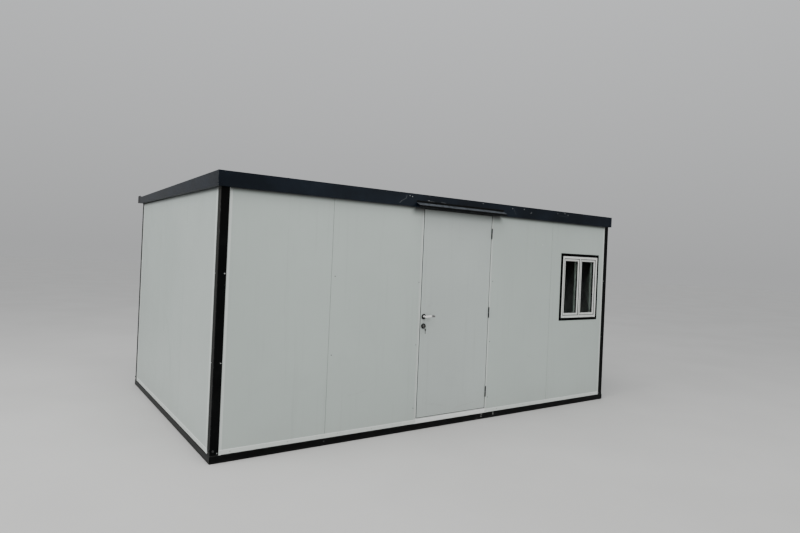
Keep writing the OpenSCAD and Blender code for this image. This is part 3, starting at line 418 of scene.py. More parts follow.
door_scuffs_and_shadow = [
    # The first mark, below the lever, is the lever's painted shadow; the rest are scuffs
    (SCUFF, -0.4, 1.054, -0.345, 1.048, 0.03, 0.36), (SCUFF, -0.341, 0.24, -0.131, 0.2, 0.014, 0.16),
    (SCUFF, 0.039, 0.16, 0.289, 0.19, 0.012, 0.14), (SCUFF, -0.371, 1.16, -0.321, 1.2, 0.02, 0.1)]
trim_glints = [(PAINTED_GLINT, 0.472, 0.066, 0.482, 0.067, 0.009, 1.0)]

# Lighter and darker strips of a coat, some of them painted highlights along edges: axis, both ends and share
# of the coat's colour
trim_tints_and_highlights = [
    (0, jamb_left[0][0] - 0.001, jamb_right[1][0] + 0.001, 0.86),
    # Painted highlights on the jambs' edges beside the door gaps
    (0, open_left - 0.0045, open_left + 0.001, 1.4),
    (0, open_right - 0.001, open_right + 0.0045, 1.4),
    (2, rail_top - 0.001, track_high[2] + 0.0005, 1.14),
    # Painted highlights on the top and foot edges of the bottom tracks
    (2, track_high[2] - 0.003, track_high[2] + 0.001, 1.6),
    (2, rail_top - 0.001, rail_top + 0.004, 1.45)]
door_tints = [(2, leaf_low[2] + 0.0025, leaf_low[2] + 0.008, 1.12)]

# Edges where paint is rubbed off: the planes that meet there, width and strength
rail_edges = [(((2, rail_top), (1, base_y)), 0.005, 0.5), (((2, rail_top), (0, base_x)), 0.005, 0.5)]
post_edges = [(((0, face_x), (1, face_y)), 0.005, 0.4)]
fascia_edges = [(((2, fascia_top),), 0.004, 0.35), (((0, -fascia_low[0]), (1, -front_y)), 0.004, 0.5)]
cap_edges = [(((2, cap_low[2]), (1, -cap_low[1])), 0.003, 0.5)]

# Materials of the record's slots
dark_paint("base_steel", BLACK, 0.09, 0.36, 0.55, 0.35, rail_edges, rail_marks, foot=0.05)
floor_cover("floor_board", (0.24, 0.23, 0.21))
# The posts' left and right faces get a painted reflection, lighter towards the top
dark_paint("post_steel", BLACK, 0.05, 0.34, 0.4, 0.15, post_edges, ends=0.2)
panel_coat("wall_panel", (0.468, 0.528, 0.496), marks=wall_marks, painted_shade=joint_shade)
panel_coat("light_trim", (0.61, 0.655, 0.625), 1.1, 0.3, 0.2, trim_glints, reveal_shade, trim_tints_and_highlights)
panel_coat("sill_strip", (0.9, 0.93, 0.91), gloss=0.36)
panel_coat("roof_sheet", (0.42, 0.44, 0.435), 2.2, 0.36, 0.5, depth=0)
dark_paint("fascia_sheet", (0.004, 0.0072, 0.0125), 0.1, 0.3, 0.45, 0.2, fascia_edges, fascia_marks)
dark_paint("gutter_sheet", BLACK, 0.14, 0.36, 0.7, 0.2)
# The drip cap's bluish coat on its up-facing slope is a painted sheen, not dust
dark_paint("drip_sheet", BLACK, 0.06, 0.36, 1.4, 0.25, cap_edges, dust=(0.062, 0.069, 0.078))
# The door leaf takes the painted shade under the drip cap at three quarters strength
panel_coat("door_skin", (0.474, 0.524, 0.502), 1.0, 0.27, 0.22, door_scuffs_and_shadow, leaf_shade, door_tints, 0.75)
dark_paint("hinge_steel", (0.016, 0.017, 0.017), 0.3, 0.36, 0.4, 0.5)
metal("lock_steel", (0.5, 0.5, 0.48), 0.24)
plastic("rose_black", (0.008, 0.008, 0.009), 0.2, 0.06, (0.1, 0.1, 0.1), level=0.35)
# The lever's near-white base with little metallic paints its highlight
metal("lever_steel", (0.97, 0.97, 0.96), 0.16, LEVEL_GRAIN, 0.1, 0.92, lever=True)
metal("key_steel", (0.13, 0.125, 0.115), 0.3, dark=0.4)
plastic("casing_black", JET, 0.45, 0.06, (0.02, 0.02, 0.019), level=0.02)
plastic("upvc_white", (0.78, 0.80, 0.77), 0.26, 0.14, (0.38, 0.37, 0.34))
glass_paint("glass")
plastic("spacer_black", (0.008, 0.008, 0.008), 0.5, 0.05, (0.03, 0.03, 0.03), level=0.2)
plastic("handle_white", (0.74, 0.76, 0.74), 0.22, 0.12)

# Materials of small pieces alone
plastic("rubber", (0.006, 0.006, 0.006), 0.55, 0.12, (0.06, 0.058, 0.05), 900, 0.25)
plastic("grey_rubber", (0.085, 0.087, 0.084), 0.55, 0.15, (0.12, 0.115, 0.1), 900, 0.3)
plastic("sealant", (0.36, 0.375, 0.365), 0.42, 0.3, (0.2, 0.19, 0.17), 160)
plastic("black_sealant", JET, 0.5, 0.05, (0.02, 0.02, 0.019), 160, 0.03)
plastic("dark_sealant", (0.012, 0.012, 0.013), 0.45, 0.12, (0.07, 0.07, 0.066), 160, 0.25)
metal("zinc", (0.46, 0.47, 0.47), 0.32, EVEN_GRAIN, dark=0.55)
metal("dull", (0.05, 0.052, 0.05), 0.45, EVEN_GRAIN, 0.2, 0.55)
dark_paint("weld", (0.004, 0.004, 0.0042), 0.25, 0.4, 0.35, 0.4)


# Shading that keeps creases over 35 degrees sharp, as a node group for CAD nodes and pieces
def smooth_group():
    group = bpy.data.node_groups.new("shade_by_angle", "GeometryNodeTree")
    for way in ("INPUT", "OUTPUT"):
        group.interface.new_socket("Geometry", in_out=way, socket_type="NodeSocketGeometry")
    start, end, angle, over, faces, edges = [group.nodes.new(kind) for kind in (
        "NodeGroupInput", "NodeGroupOutput", "GeometryNodeInputMeshEdgeAngle", "FunctionNodeCompare",
        "GeometryNodeSetShadeSmooth", "GeometryNodeSetShadeSmooth")]
    faces.domain, edges.domain = "FACE", "EDGE"
    faces.inputs["Shade Smooth"].default_value = True
    edges.inputs["Shade Smooth"].default_value = False
    over.data_type, over.operation = "FLOAT", "GREATER_THAN"
    over.inputs[1].default_value = math.radians(35)
    for source, target in (
            (start.outputs[0], faces.inputs["Geometry"]), (faces.outputs[0], edges.inputs["Geometry"]),
            (angle.outputs["Unsigned Angle"], over.inputs[0]), (over.outputs[0], edges.inputs["Selection"]),
            (edges.outputs[0], end.inputs[0])):
        group.links.new(source, target)
    return group


by_angle = smooth_group()


def soften(obj):
    obj.modifiers.new("shade", "NODES").node_group = by_angle


def merge_points(obj):
    obj.modifiers.new("weld", "WELD").merge_threshold = 0.00002


def rounded(obj, width, segments):
    """Small rounds on the edges of a CAD node, kept inside its box."""
    merge_points(obj)
    flat = obj.modifiers.new("flat", "DECIMATE")
    flat.decimate_type, flat.angle_limit = "DISSOLVE", math.radians(0.3)
    edges = obj.modifiers.new("edges", "BEVEL")
    edges.width, edges.segments = width, segments
    edges.limit_method, edges.angle_limit = "ANGLE", math.radians(40)
    soften(obj)
    obj.modifiers.new("weights", "WEIGHTED_NORMAL").keep_sharp = True


# Rounds of the CAD nodes: width, segments and how the names of the nodes begin
ROUNDS = (
    (0.0004, 1, ("base_rails", "floor_joists", "corner_post", "glass_spacers")),
    (0.0004, 2, "keys"),
    (0.0005, 2, ("bottom_tracks", "edge_trims", "ceiling_angles", "door_jamb", "hinge_", "lock")),
    (0.0006, 2, ("door_head", "fascia_", "rear_gutter", "drip_cap")),
    (0.0008, 2, "window_frame"),
    (0.001, 1, "floor_deck"),
    (0.0012, 2, ("front_panel", "left_wall", "right_wall", "rear_wall", "door_threshold", "window_sashes",
                 "window_casings")),
    (0.0014, 2, "door_leaf"),
    (0.0018, 3, "roses"),
    (0.002, 2, "top_beam"),
    (0.0025, 2, "roof_panels"),
    (0.004, 3, "sash_handle"))
slot_of = {row["node"]: row["material_slot"] for row in frame["record"]["subparts"]}
for name, obj in nodes.items():
    obj.data.materials.clear()
    obj.data.materials.append(paints[slot_of[name]])
    for width, segments, beginnings in ROUNDS:
        if name.startswith(beginnings):
            rounded(obj, width, segments)

# The levers are cast: their edges are rounded all over
levers = nodes["lever_handles"]
merge_points(levers)
cast = levers.modifiers.new("cast", "REMESH")
cast.mode, cast.voxel_size, cast.use_smooth_shade = "VOXEL", 0.0008, True
flow = levers.modifiers.new("flow", "SMOOTH")
flow.factor, flow.iterations = 0.5, 7


# Pieces in mesh code. A template is a pair of points and faces
def lathe(profile, steps=24):
    """Turned shape about Z from (radius, height) pairs; a radius of 0 closes an end."""
    points, rings, faces = [], [], []
    turns = [math.tau * i / steps for i in range(steps)]
    for radius, height in profile:
        if radius == 0:
            rings.append([len(points)])
            points.append((0, 0, height))
        else:
            rings.append(list(range(len(points), len(points) + steps)))
            points += [(radius * math.cos(turn), radius * math.sin(turn), height) for turn in turns]
    for low, high in zip(rings, rings[1:]):
        for i in range(steps):
            j = (i + 1) % steps
            if len(low) == 1:
                faces.append((low[0], high[j], high[i]))
            elif len(high) == 1:
                faces.append((low[i], low[j], high[0]))
            else:
                faces.append((low[i], low[j], high[j], high[i]))
    return points, faces


def bevelled(low, high, width, segments=1):
    """Box with rounded or chamfered edges."""
    mesh = bmesh.new()
    bmesh.ops.create_cube(mesh, size=1)
    size = [b - a for a, b in zip(low, high)]
    for v in mesh.verts:
        v.co = [a + (c + 0.5) * s for a, c, s in zip(low, v.co, size)]
    bmesh.ops.bevel(mesh, geom=mesh.edges[:], offset=min(width, 0.45 * min(size)), segments=segments,
                    affect="EDGES", profile=0.5)
    mesh.verts.index_update()
    made = [tuple(v.co) for v in mesh.verts], [tuple(v.index for v in f.verts) for f in mesh.faces]
    mesh.free()
    return made


def pan_head(radius, height):
    """Pan head with a pressed cross recess, standing on z = 0."""
    recess, arm = 0.55 * radius, 0.12 * radius
    profile = [(0.97, 0), (1, 0.25), (0.9, 0.62), (0.68, 0.86), (0.52, 0.94), (0.36, 0.98), (0.16, 1), (0, 1)]
    points, faces = lathe([(r * radius, h * height) for r, h in profile])
    pressed = []
    for x, y, z in points:
        near = math.hypot(x, y)
        if near < recess and min(abs(x), abs(y)) < arm:
            z -= height * 0.5 * (1 - (near / recess) ** 3)
        pressed.append((x, y, z))
    return pressed, faces


def hex_head(across, height, washer):
    """Hexagon head with a chamfered top on a round washer with a seal."""
    r = across / 2 / math.cos(math.pi / 6)
    base = lathe([(washer, 0), (washer, 0.0012), (washer * 0.94, 0.0016), (r * 1.02, 0.0018)])
    chamfer = [(r, height * 0.86), (r * 0.86, height)]
    head = lathe([(r, 0.0017), *chamfer, (r * 0.5, height), (0, height * 0.97)], 6)
    count = len(base[0])
    return base[0] + head[0], base[1] + [tuple(i + count for i in f) for f in head[1]]


def rivet(radius, height):
    """Blind rivet with a domed head and its pulled pin."""
    profile = [(1, 0), (0.98, 0.3), (0.82, 0.72), (0.5, 1), (0.3, 1), (0.27, 0.55), (0.12, 0.62), (0, 0.66)]
    return lathe([(r * radius, h * height) for r, h in profile], 18)


def round_bead(width, height):
    """Outline of a bead that is a little sunk in what it lies on."""
    sink, steps = 0.0006, 6
    arch = [(-width / 2 * math.cos(math.pi * k / steps), height * math.sin(math.pi * k / steps))
            for k in range(1, steps)]
    return [(-width / 2, -sink), *arch, (width / 2, -sink)]


def spread(low, high, step):
    """Evenly spaced places between two ends, both taken."""
    count = max(1, round((high - low) / step))
    return [low + (high - low) * i / count for i in range(count + 1)]


def loop(x0, x1, z0, z1, y):
    """Corners of an upright rectangle that looks along Y."""
    return [(x0, y, z0), (x0, y, z1), (x1, y, z1), (x1, y, z0)]


OUT = {"front": Matrix.Rotation(math.pi / 2, 4, "X"), "rear": Matrix.Rotation(-math.pi / 2, 4, "X"),
       "left": Matrix.Rotation(-math.pi / 2, 4, "Y"), "right": Matrix.Rotation(math.pi / 2, 4, "Y"),
       "up": Matrix.Identity(4), "down": Matrix.Rotation(math.pi, 4, "X")}


class Piece:
    """One mesh of many small parts of one finish, riding on a body."""
    begun = []

    def __init__(self, name, paint, slot, body="root"):
        self.name, self.paint, self.slot, self.body = name, paint, slot, body
        self.points, self.faces = [], []
        Piece.begun.append(self)

    def add(self, template, matrix=None):
        points = [matrix @ Vector(p) for p in template[0]] if matrix else template[0]
        start = len(self.points)
        self.points += [tuple(p) for p in points]
        self.faces += [tuple(i + start for i in f) for f in template[1]]

    def at(self, template, place, facing, spin=0.0):
        self.add(template, Matrix.Translation(place) @ OUT[facing] @ Matrix.Rotation(spin, 4, "Z"))

    def box(self, low, high, width=0.0005, segments=1):
        self.add(bevelled(low, high, width, segments))

    def skin(self, start, count, size, closed=False, around=True):
        """Faces between rings of points, with end faces unless the rings are closed."""
        for i in range(count if closed else count - 1):
            a, b = start + i * size, start + (i + 1) % count * size
            for k in range(size if around else size - 1):
                m = (k + 1) % size
                self.faces.append((a + k, a + m, b + m, b + k))
        if not closed:
            last = start + (count - 1) * size
            self.faces.append(tuple(range(start + size - 1, start - 1, -1)))
            self.faces.append(tuple(range(last, last + size)))

    def sweep(self, path, normal, outline, closed=False):
        """Runs an outline (u across, v along the normal) along a flat path with mitred corners."""
        path, normal = [Vector(p) for p in path], Vector(normal).normalized()
        count, start, least = len(path), len(self.points), 0.3
        for i, here in enumerate(path):
            ways = [here - path[i - 1]] if closed or i else []
            if closed or i < count - 1:
                ways.append(path[(i + 1) % count] - here)
            sides = [normal.cross(way.normalized()) for way in ways]
            mitre = sum(sides, Vector()).normalized()
            mitre /= max(least, mitre.dot(sides[0]))
            self.points += [tuple(here + mitre * u + normal * v) for u, v in outline]
        self.skin(start, count, len(outline), closed)

    def ripple(self, a, b, radius, across):
        """Weld bead between two points: a half round with ripples; across points out of the corner."""
        wave, steps = 0.0045, 7
        a, b, across = Vector(a), Vector(b), Vector(across).normalized()
        run = b - a
        side = run.normalized().cross(across)
        count = max(3, int(run.length / wave * 2))
        start = len(self.points)
        for i in range(count + 1):
            swell = radius * (1 + 0.1 * math.cos(math.pi * i) + 0.06 * math.sin(i * 1.7))
            if i in (0, count):
                swell *= 0.55
            here = a + run * (i / count)
            for k in range(steps):
                turn = math.pi * k / (steps - 1)
                point = here + side * math.cos(turn) * swell
                self.points.append(tuple(point + across * math.sin(turn) * swell * 0.7))
        self.skin(start, count + 1, steps, around=False)

    def finish(self):
        mesh = bpy.data.meshes.new(self.name)
        mesh.from_pydata(self.points, [], self.faces)
        build = bmesh.new()
        build.from_mesh(mesh)
        bmesh.ops.recalc_face_normals(build, faces=build.faces[:])
        build.to_mesh(mesh)
        build.free()
        mesh.materials.append(paints[self.paint])
        obj = bpy.data.objects.new(self.name, mesh)
        scene.collection.objects.link(obj)
        soften(obj)
        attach(obj, self.body)


def track_screws():
    """Screws along the bottom tracks, a little uneven, on the front as photographed."""
    screw = pan_head(0.0042, 0.0022)
    piece = Piece("track_screws", "zinc", "light_trim")
    for x, z in ((-2.24, 0.078), (-1.297, 0.087), (-0.949, 0.078), (-0.625, 0.088), (-1.761, 0.082),
                 (0.609, 0.084), (1.009, 0.081), (1.469, 0.086), (1.889, 0.082), (2.189, 0.084)):
        piece.at(screw, (x, track_low[1], z), "front", x * 7)
    level, stray, end_x, end_y = 0.081, 0.003, 2.2, 1.28
    for x in spread(-end_x, end_x, 0.46):
        piece.at(screw, (x, track_high[1], level + stray * math.sin(x * 9)), "rear", x * 5)
    for y in spread(-end_y, end_y, 0.42):
        piece.at(screw, (track_low[0], y, level + stray * math.sin(y * 8)), "left", y * 6)
        piece.at(screw, (track_high[0], y, level + stray * math.cos(y * 8)), "right", y * 6)


def wall_rivets():
    """Dull rivets on the front wall as photographed, and bright ones on the posts."""
    head = rivet(0.0048, 0.0016)
    piece = Piece("wall_rivets", "dull", "light_trim")
    for x, z in ((-1.386, 1.449), (-1.391, 0.77), (-0.484, 1.407), (-0.49, 0.812), (-0.491, 0.211),
                 (0.475, 1.428), (0.469, 0.798), (0.472, 0.218)):
        piece.at(head, (x, wall_front, z), "front")
    bright = Piece("post_rivets", "zinc", "post_steel")
    x, y = inner_x + 0.014, inner_y + 0.014
    for z in (0.077, 0.766, 1.453):
        for sx, sy in CORNERS:
            bright.at(head, (sx * x, sy * face_y, z), FACE_Y[sy])
        for sy, sx in CORNERS:
            bright.at(head, (sx * face_x, sy * y, z), FACE_X[sx])


def post_bolts():
    """Two bolts at the foot of each post."""
    bolt = hex_head(0.013, 0.0075, 0.0095)
    piece = Piece("post_bolts", "hinge_steel", "post_steel")
    x, y, z = inner_x + 0.046, inner_y + 0.046, 0.096
    for sx, sy in CORNERS:
        piece.at(bolt, (sx * x, sy * face_y, z), FACE_Y[sy], 0.3)
        piece.at(bolt, (sx * face_x, sy * y, z), FACE_X[sx], 0.8)


def weld_beads():
    """Welds on the mitres of the base frame, at the feet of the posts and beside the joists."""
    piece = Piece("weld_beads", "weld", "base_steel")
    edge, level = 0.004, rail_top - 0.0004
    for sx, sy in CORNERS:
        mitre = [(sx * (base_x - inset), sy * (base_y - inset), level) for inset in (rail_w, 0.005)]
        piece.ripple(*mitre, 0.0028, (0, 0, 1))
        foot = [(sx * x, sy * face_y, rail_top) for x in (inner_x, face_x - edge)]
        piece.ripple(*foot, 0.0026, (0, sy, 1))
        foot = [(sx * face_x, sy * y, rail_top) for y in (inner_y, face_y - edge)]
        piece.ripple(*foot, 0.0026, (sx, 0, 1))
    for i in range(1, joist_bays):
        joist = rail_w - base_x + i * 2 * (base_x - rail_w) / joist_bays
        for sy, sx in CORNERS:
            side = [(joist + sx * joist_w / 2, sy * joist_end, z) for z in (edge, rail_top - edge)]
            piece.ripple(*side, 0.0025, (sx, -sy, 0))


def joint_shade_strips():
    """Near-black rubber strips a little back in the joints between the panels, put there as painted shade."""
    piece = Piece("joint_shade_strips", "rubber", "spacer_black")
    half, shift, outer, inner = 0.0012, 0.001, 0.006, 0.011
    foot, top = track_high[2] - 0.028, top_z - 0.001

    def strip(x0, x1, y0, y1):
        piece.box((x0, y0, foot), (x1, y1, top), 0.0004)

    for name in ("front_panel_2", "front_panel_4"):
        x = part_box(name)[0][0] - shift
        strip(x - half, x + half, wall_front + outer, wall_front + inner)
    for i in (1, 2):
        y = inner_y - 0.0015 - i * panel_pitch + shift
        strip(wall_left + outer, wall_left + inner, y - half, y + half)
        strip(-wall_left - inner, -wall_left - outer, -y - half, -y + half)
    for i in range(1, 5):
        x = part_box("rear_wall_panels")[1][0] - i * panel_pitch + shift
        strip(x - half, x + half, -wall_front - inner, -wall_front - outer)


def sealant_runs():
    """Sealant along the posts, from the tracks up to the fascia."""
    piece = Piece("sealant_runs", "sealant", "light_trim")
    run = round_bead(0.004, 0.0013)
    for sx, sy in CORNERS:
        for x, y, top, normal in ((inner_x, track_high[1], top_z - 0.008, (0, sy, 0)),
                                  (track_high[0], inner_y, top_z - 0.015, (sx, 0, 0))):
            piece.sweep([(sx * x, sy * y, z) for z in (track_high[2], top)], normal, run)


def foot_seal():
    """Bead between the tracks and the base rails."""
    piece = Piece("foot_seal", "dark_sealant", "base_steel")
    run, out, up = round_bead(0.005, 0.0016), 0.8, 0.6
    x, y = inner_x - 0.02, inner_y - 0.04
    for ends in ((-x, jamb_left[0][0]), (jamb_right[1][0], x)):
        piece.sweep([(end, track_low[1], rail_top) for end in ends], (0, -out, up), run)
    piece.sweep([(end, track_high[1], rail_top) for end in (-x, x)], (0, out, up), run)
    for sx in (-1, 1):
        piece.sweep([(sx * track_high[0], end, rail_top) for end in (-y, y)], (sx * out, 0, up), run)


def door_gasket():
    """Bulb-shaped rubber seal on the stop round the door."""
    piece = Piece("door_gasket", "rubber", "spacer_black")
    inset = 0.0075
    left, right = jamb_left[1][0] - inset, jamb_right[0][0] + inset
    foot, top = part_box("door_threshold")[1][2] - inset, head_low[2] + inset
    bulb = [(-0.0045, -0.0008), (-0.0045, 0.0012), (-0.0034, 0.0034), (-0.001, 0.0046), (0.0016, 0.0042),
            (0.0036, 0.0024), (0.0045, 0.0008), (0.0045, -0.0008)]
    piece.sweep(loop(left, right, foot, top, leaf_high[1] + 0.0055), (0, -1, 0), bulb, closed=True)


def hinge_trim():
    """Rings between the knuckles, domed caps on the barrels and screws in both leaves."""
    low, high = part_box("hinge_door_halves")
    x, y = (low[0] + high[0]) / 2, low[1] + 0.006
    half = 0.052
    levels = (leaf_low[2] + 0.17, leaf_low[2] + 0.991, leaf_high[2] - 0.1855)
    ring = lathe([(0.0036, -0.0009), (0.0064, -0.0009), (0.0068, 0), (0.0064, 0.0009), (0.0036, 0.0009)])
    cap = lathe([(0.0062, -0.0004), (0.0064, 0.0006), (0.0058, 0.0022), (0.0036, 0.0034), (0, 0.0039)])
    rings = Piece("hinge_rings", "zinc", "hinge_steel")
    upper = Piece("hinge_caps_upper", "hinge_steel", "hinge_steel", "door")
    lower = Piece("hinge_caps_lower", "hinge_steel", "hinge_steel")
    for level in levels:
        rings.at(ring, (x, y, level - 0.00015), "up")
        upper.at(cap, (x, y, level + half), "up")
        lower.at(cap, (x, y, level - half), "down")
    screws = Piece("hinge_screws", "zinc", "hinge_steel", "door")
    fixed = Piece("hinge_screws_fixed", "zinc", "hinge_steel")
    flat, plate, stagger = pan_head(0.0033, 0.0007), 0.0023, 0.004
    for level in levels:
        for dz, back in ((-0.038, stagger), (-0.013, 0), (0.013, 0), (0.038, stagger)):
            for dy in (0.009, 0.024):
                y, z = wall_front + dy + back, level + dz
                screws.at(flat, (leaf_high[0] + plate, y, z), "right", dz * 90)
                fixed.at(flat, (jamb_right[0][0] + stop_w - plate, y, z), "left", dz * 70)


def lock_trim():
    """Bolts and screws in the face plate, keep on the jamb, rings and keyway of the cylinder."""
    lever_x, lever_z, mid_y = leaf_low[0] + 0.038, leaf_low[2] + 0.967, (leaf_low[1] + leaf_high[1]) / 2
    cylinder_z = lever_z - 0.09
    plate_x, flat = leaf_low[0], pan_head(0.0034, 0.0006)
    bolts = Piece("lock_bolts", "lock_steel", "lock_steel", "door")
    for half, low, high in ((0.006, lever_z - 0.017, lever_z + 0.017),
                            (0.0055, cylinder_z + 0.012, cylinder_z + 0.046)):
        bolts.box((plate_x - 0.0006, mid_y - half, low), (plate_x + 0.001, mid_y + half, high))
    for z, spin in ((lever_z - 0.153, 0.4), (lever_z + 0.063, 0.4), (cylinder_z, 0.1)):
        bolts.at(flat, (plate_x, mid_y, z), "left", spin)
    keep = Piece("strike_plate", "lock_steel", "lock_steel")
    half, end = 0.013, 0.012
    x0 = jamb_left[1][0] - stop_w - 0.0002
    x1, low, high = x0 + 0.0014, cylinder_z - 0.03, lever_z + 0.045
    for z0, z1 in ((high - 0.03, high), (lever_z - 0.032, lever_z - 0.02), (low, cylinder_z + 0.008)):
        keep.box((x0, mid_y - half, z0), (x1, mid_y + half, z1))
    for y0, y1 in ((-half, -0.006), (0.006, half)):
        keep.box((x0, mid_y + y0, low), (x1, mid_y + y1, high))
    for z in (low + end, high - end):
        keep.at(flat, (x1, mid_y, z), "right", 0.6)
    rings = Piece("rose_rings", "lever_steel", "lever_steel", "door")
    outline = [(0.0102, -0.0006), (0.0104, 0.0012), (0.0112, 0.0017), (0.012, 0.0012), (0.0122, -0.0006)]
    rim = lathe(outline, 32)
    for z in (lever_z, cylinder_z):
        rings.at(rim, (lever_x, wall_front - 0.008, z), "front")
        rings.at(rim, (lever_x, leaf_high[1] + 0.008, z), "rear")
    # The keyway is a black insert that stands for the shade in the slot
    ways = Piece("keyway", "rubber", "spacer_black", "door")
    slot = bevelled((-0.0007, -0.0056, -0.0002), (0.0007, 0.0048, 0.00015), 0.0001)
    tooth = bevelled((-0.0015, -0.002, -0.0002), (0.0007, 0.0004, 0.00015), 0.0001)
    for y, facing in ((wall_front - 0.012, "front"), (leaf_high[1] + 0.012, "rear")):
        ways.at(slot, (lever_x, y, cylinder_z), facing)
        ways.at(tooth, (lever_x, y, cylinder_z), facing)


def fascia_rivets():
    """Bright rivets as photographed, and painted ones on the covers and the drip cap."""
    head, small = rivet(0.0044, 0.0016), rivet(0.0036, 0.0012)
    bright = Piece("fascia_rivets", "zinc", "fascia_sheet")
    for x, z in ((-0.658, 2.213), (-0.629, 2.207), (-0.434, 2.186), (0.262, 2.222), (0.687, 2.205),
                 (0.863, 2.212), (0.973, 2.181), (1.41, 2.209), (1.534, 2.217), (1.586, 2.205)):
        bright.at(head, (x, front_y, z), "front")
    dark = Piece("fascia_rivets_dark", "fascia_sheet", "fascia_sheet")
    low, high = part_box("fascia_covers")
    edge, inset = 0.022, 0.024
    for sx, x in ((-1, low[0]), (1, high[0])):
        for z in (fascia_foot + edge, fascia_top - edge):
            dark.at(small, (x - sx * inset, low[1], z), "front")
            dark.at(small, (x, front_y + 0.02, z), FACE_X[sx])
    caps = Piece("drip_cap_rivets", "drip_sheet", "drip_sheet")
    for x in spread(cap_low[0] + 0.04, cap_high[0] - 0.04, 0.17):
        caps.at(small, (x, front_y - 0.0015, cap_high[2] - 0.009), "front")


def roof_fixings():
    """Screws with sealing washers on the ribs, and sealant in the laps between the sheets."""
    low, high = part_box("roof_panels")
    ribs, sheet_ribs = 20, 4
    screw, tilt = hex_head(0.008, 0.0055, 0.0075), Matrix.Rotation(-math.atan(roof_fall), 4, "X")
    rib_x = [low[0] + i * (high[0] - low[0]) / ribs for i in range(ribs)]

    def crown(y):
        return high[2] - (y - low[1]) * roof_fall

    screws = Piece("roof_screws", "zinc", "roof_sheet")
    for i in range(1, ribs):
        x = rib_x[i] + (0.005 if i % sheet_ribs == 0 else 0)
        for y in (-1.40, -0.5, 0.45, 1.43):
            screws.add(screw, Matrix.Translation((x, y, crown(y) - 0.0003)) @ tilt)
    laps = Piece("roof_laps", "sealant", "roof_sheet")
    bead = round_bead(0.003, 0.001)
    for x in rib_x[sheet_ribs::sheet_ribs]:
        laps.sweep([(x, y, crown(y) - 0.0004) for y in (-1.46, 1.50)], (0, roof_fall, 1), bead)


def gutter_straps():
    """Straps across the gutter, each with a rivet."""
    low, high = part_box("rear_gutter")
    half, head, y, top = 0.012, rivet(0.0035, 0.0013), high[1], high[2]
    straps = Piece("gutter_straps", "gutter_sheet", "gutter_sheet")
    for x in spread(low[0] + 0.25, high[0] - 0.25, 0.72):
        straps.box((x - half, low[1] + 0.034, top - 0.0046), (x + half, y - 0.001, top - 0.0018))
        straps.at(head, (x, y - 0.008, top - 0.0016), "up")


def window_seals():
    """Seals between frame and sashes, and gaskets on both sides of the glass."""
    gasket = Piece("glazing_gaskets", "rubber", "spacer_black")
    seal = Piece("sash_seals", "grey_rubber", "spacer_black")
    sash_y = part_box("window_sashes")[0][1]
    mid = (frame_low[0] + frame_high[0]) / 2
    wide = (frame_high[0] - frame_low[0] - 2 * rim_w - bar_w) / 2
    foot, top = frame_low[2] + rim_w, frame_high[2] - rim_w
    lip = [(0.0012, -0.0006), (0.0012, 0.0022), (-0.0002, 0.0034), (-0.0018, 0.0026), (-0.003, 0.0006),
           (-0.003, -0.0006)]
    strip = [(0.0004, -0.0008), (0.0004, 0.0062), (-0.0008, 0.0067), (-0.005, 0.0067), (-0.006, 0.006),
             (-0.0064, -0.0008)]
    for sx in (-1, 1):
        centre = mid + sx * (wide + bar_w) / 2
        x0, x1 = centre - wide / 2, centre + wide / 2
        seal.sweep(loop(x0, x1, foot, top, sash_y), (0, -1, 0), strip, closed=True)
        inner = (x0 + sash_w, x1 - sash_w, foot + sash_w, top - sash_w)
        gasket.sweep(loop(*inner, glass_low[1]), (0, -1, 0), lip, closed=True)
        gasket.sweep(loop(*inner, glass_high[1])[::-1], (0, 1, 0), lip, closed=True)


def window_lines():
    """Lines of the frame's welded mitres."""
    lines = Piece("mitre_lines", "dark_sealant", "upvc_white")
    start, length, half = 0.0005, 0.0245, 0.0002
    outline = [(-half, -half), (-half, 0.00006), (half, 0.00006), (half, -half)]
    corners = {-1: frame_high, 1: frame_low}
    for dz, dx in ((1, 1), (1, -1), (-1, 1), (-1, -1)):
        x, z = corners[dx][0], corners[dz][2]
        path = [(x + dx * run, frame_low[1], z + dz * run) for run in (start, start + length)]
        lines.sweep(path, (0, -1, 0), outline)


def window_drains():
    """Caps over the drain slots at the foot of the frame, with black patches that stand for the shade in the
    slots.
    """
    caps = Piece("drain_caps", "upvc_white", "upvc_white")
    slots = Piece("drain_slots", "rubber", "spacer_black")
    y, z, back, inset = frame_low[1], frame_low[2], frame_low[1] + 0.0004, 0.07
    for x in (frame_low[0] + inset, (frame_low[0] + frame_high[0]) / 2, frame_high[0] - inset):
        caps.box((x - 0.013, y - 0.0022, z + 0.008), (x + 0.013, back, z + 0.017), 0.0012, 2)
        caps.box((x - 0.014, y - 0.003, z + 0.0155), (x + 0.014, back, z + 0.018), 0.0008, 2)
        slots.box((x - 0.009, y - 0.0024, z + 0.0086), (x + 0.009, y, z + 0.0104), 0.0003)


def casing_bead():
    """Sealant round the casing and between casing and frame."""
    bead = Piece("casing_bead", "black_sealant", "casing_black")
    for low, high, y, edge, size in ((case_low, case_high, wall_front, 0.0014, (0.0064, 0.003)),
                                     (frame_low, frame_high, frame_low[1], -0.0004, (0.007, 0.0022))):
        path = loop(low[0] - edge, high[0] + edge, low[2] - edge, high[2] + edge, y)
        bead.sweep(path, (0, -1, 0), round_bead(*size), closed=True)


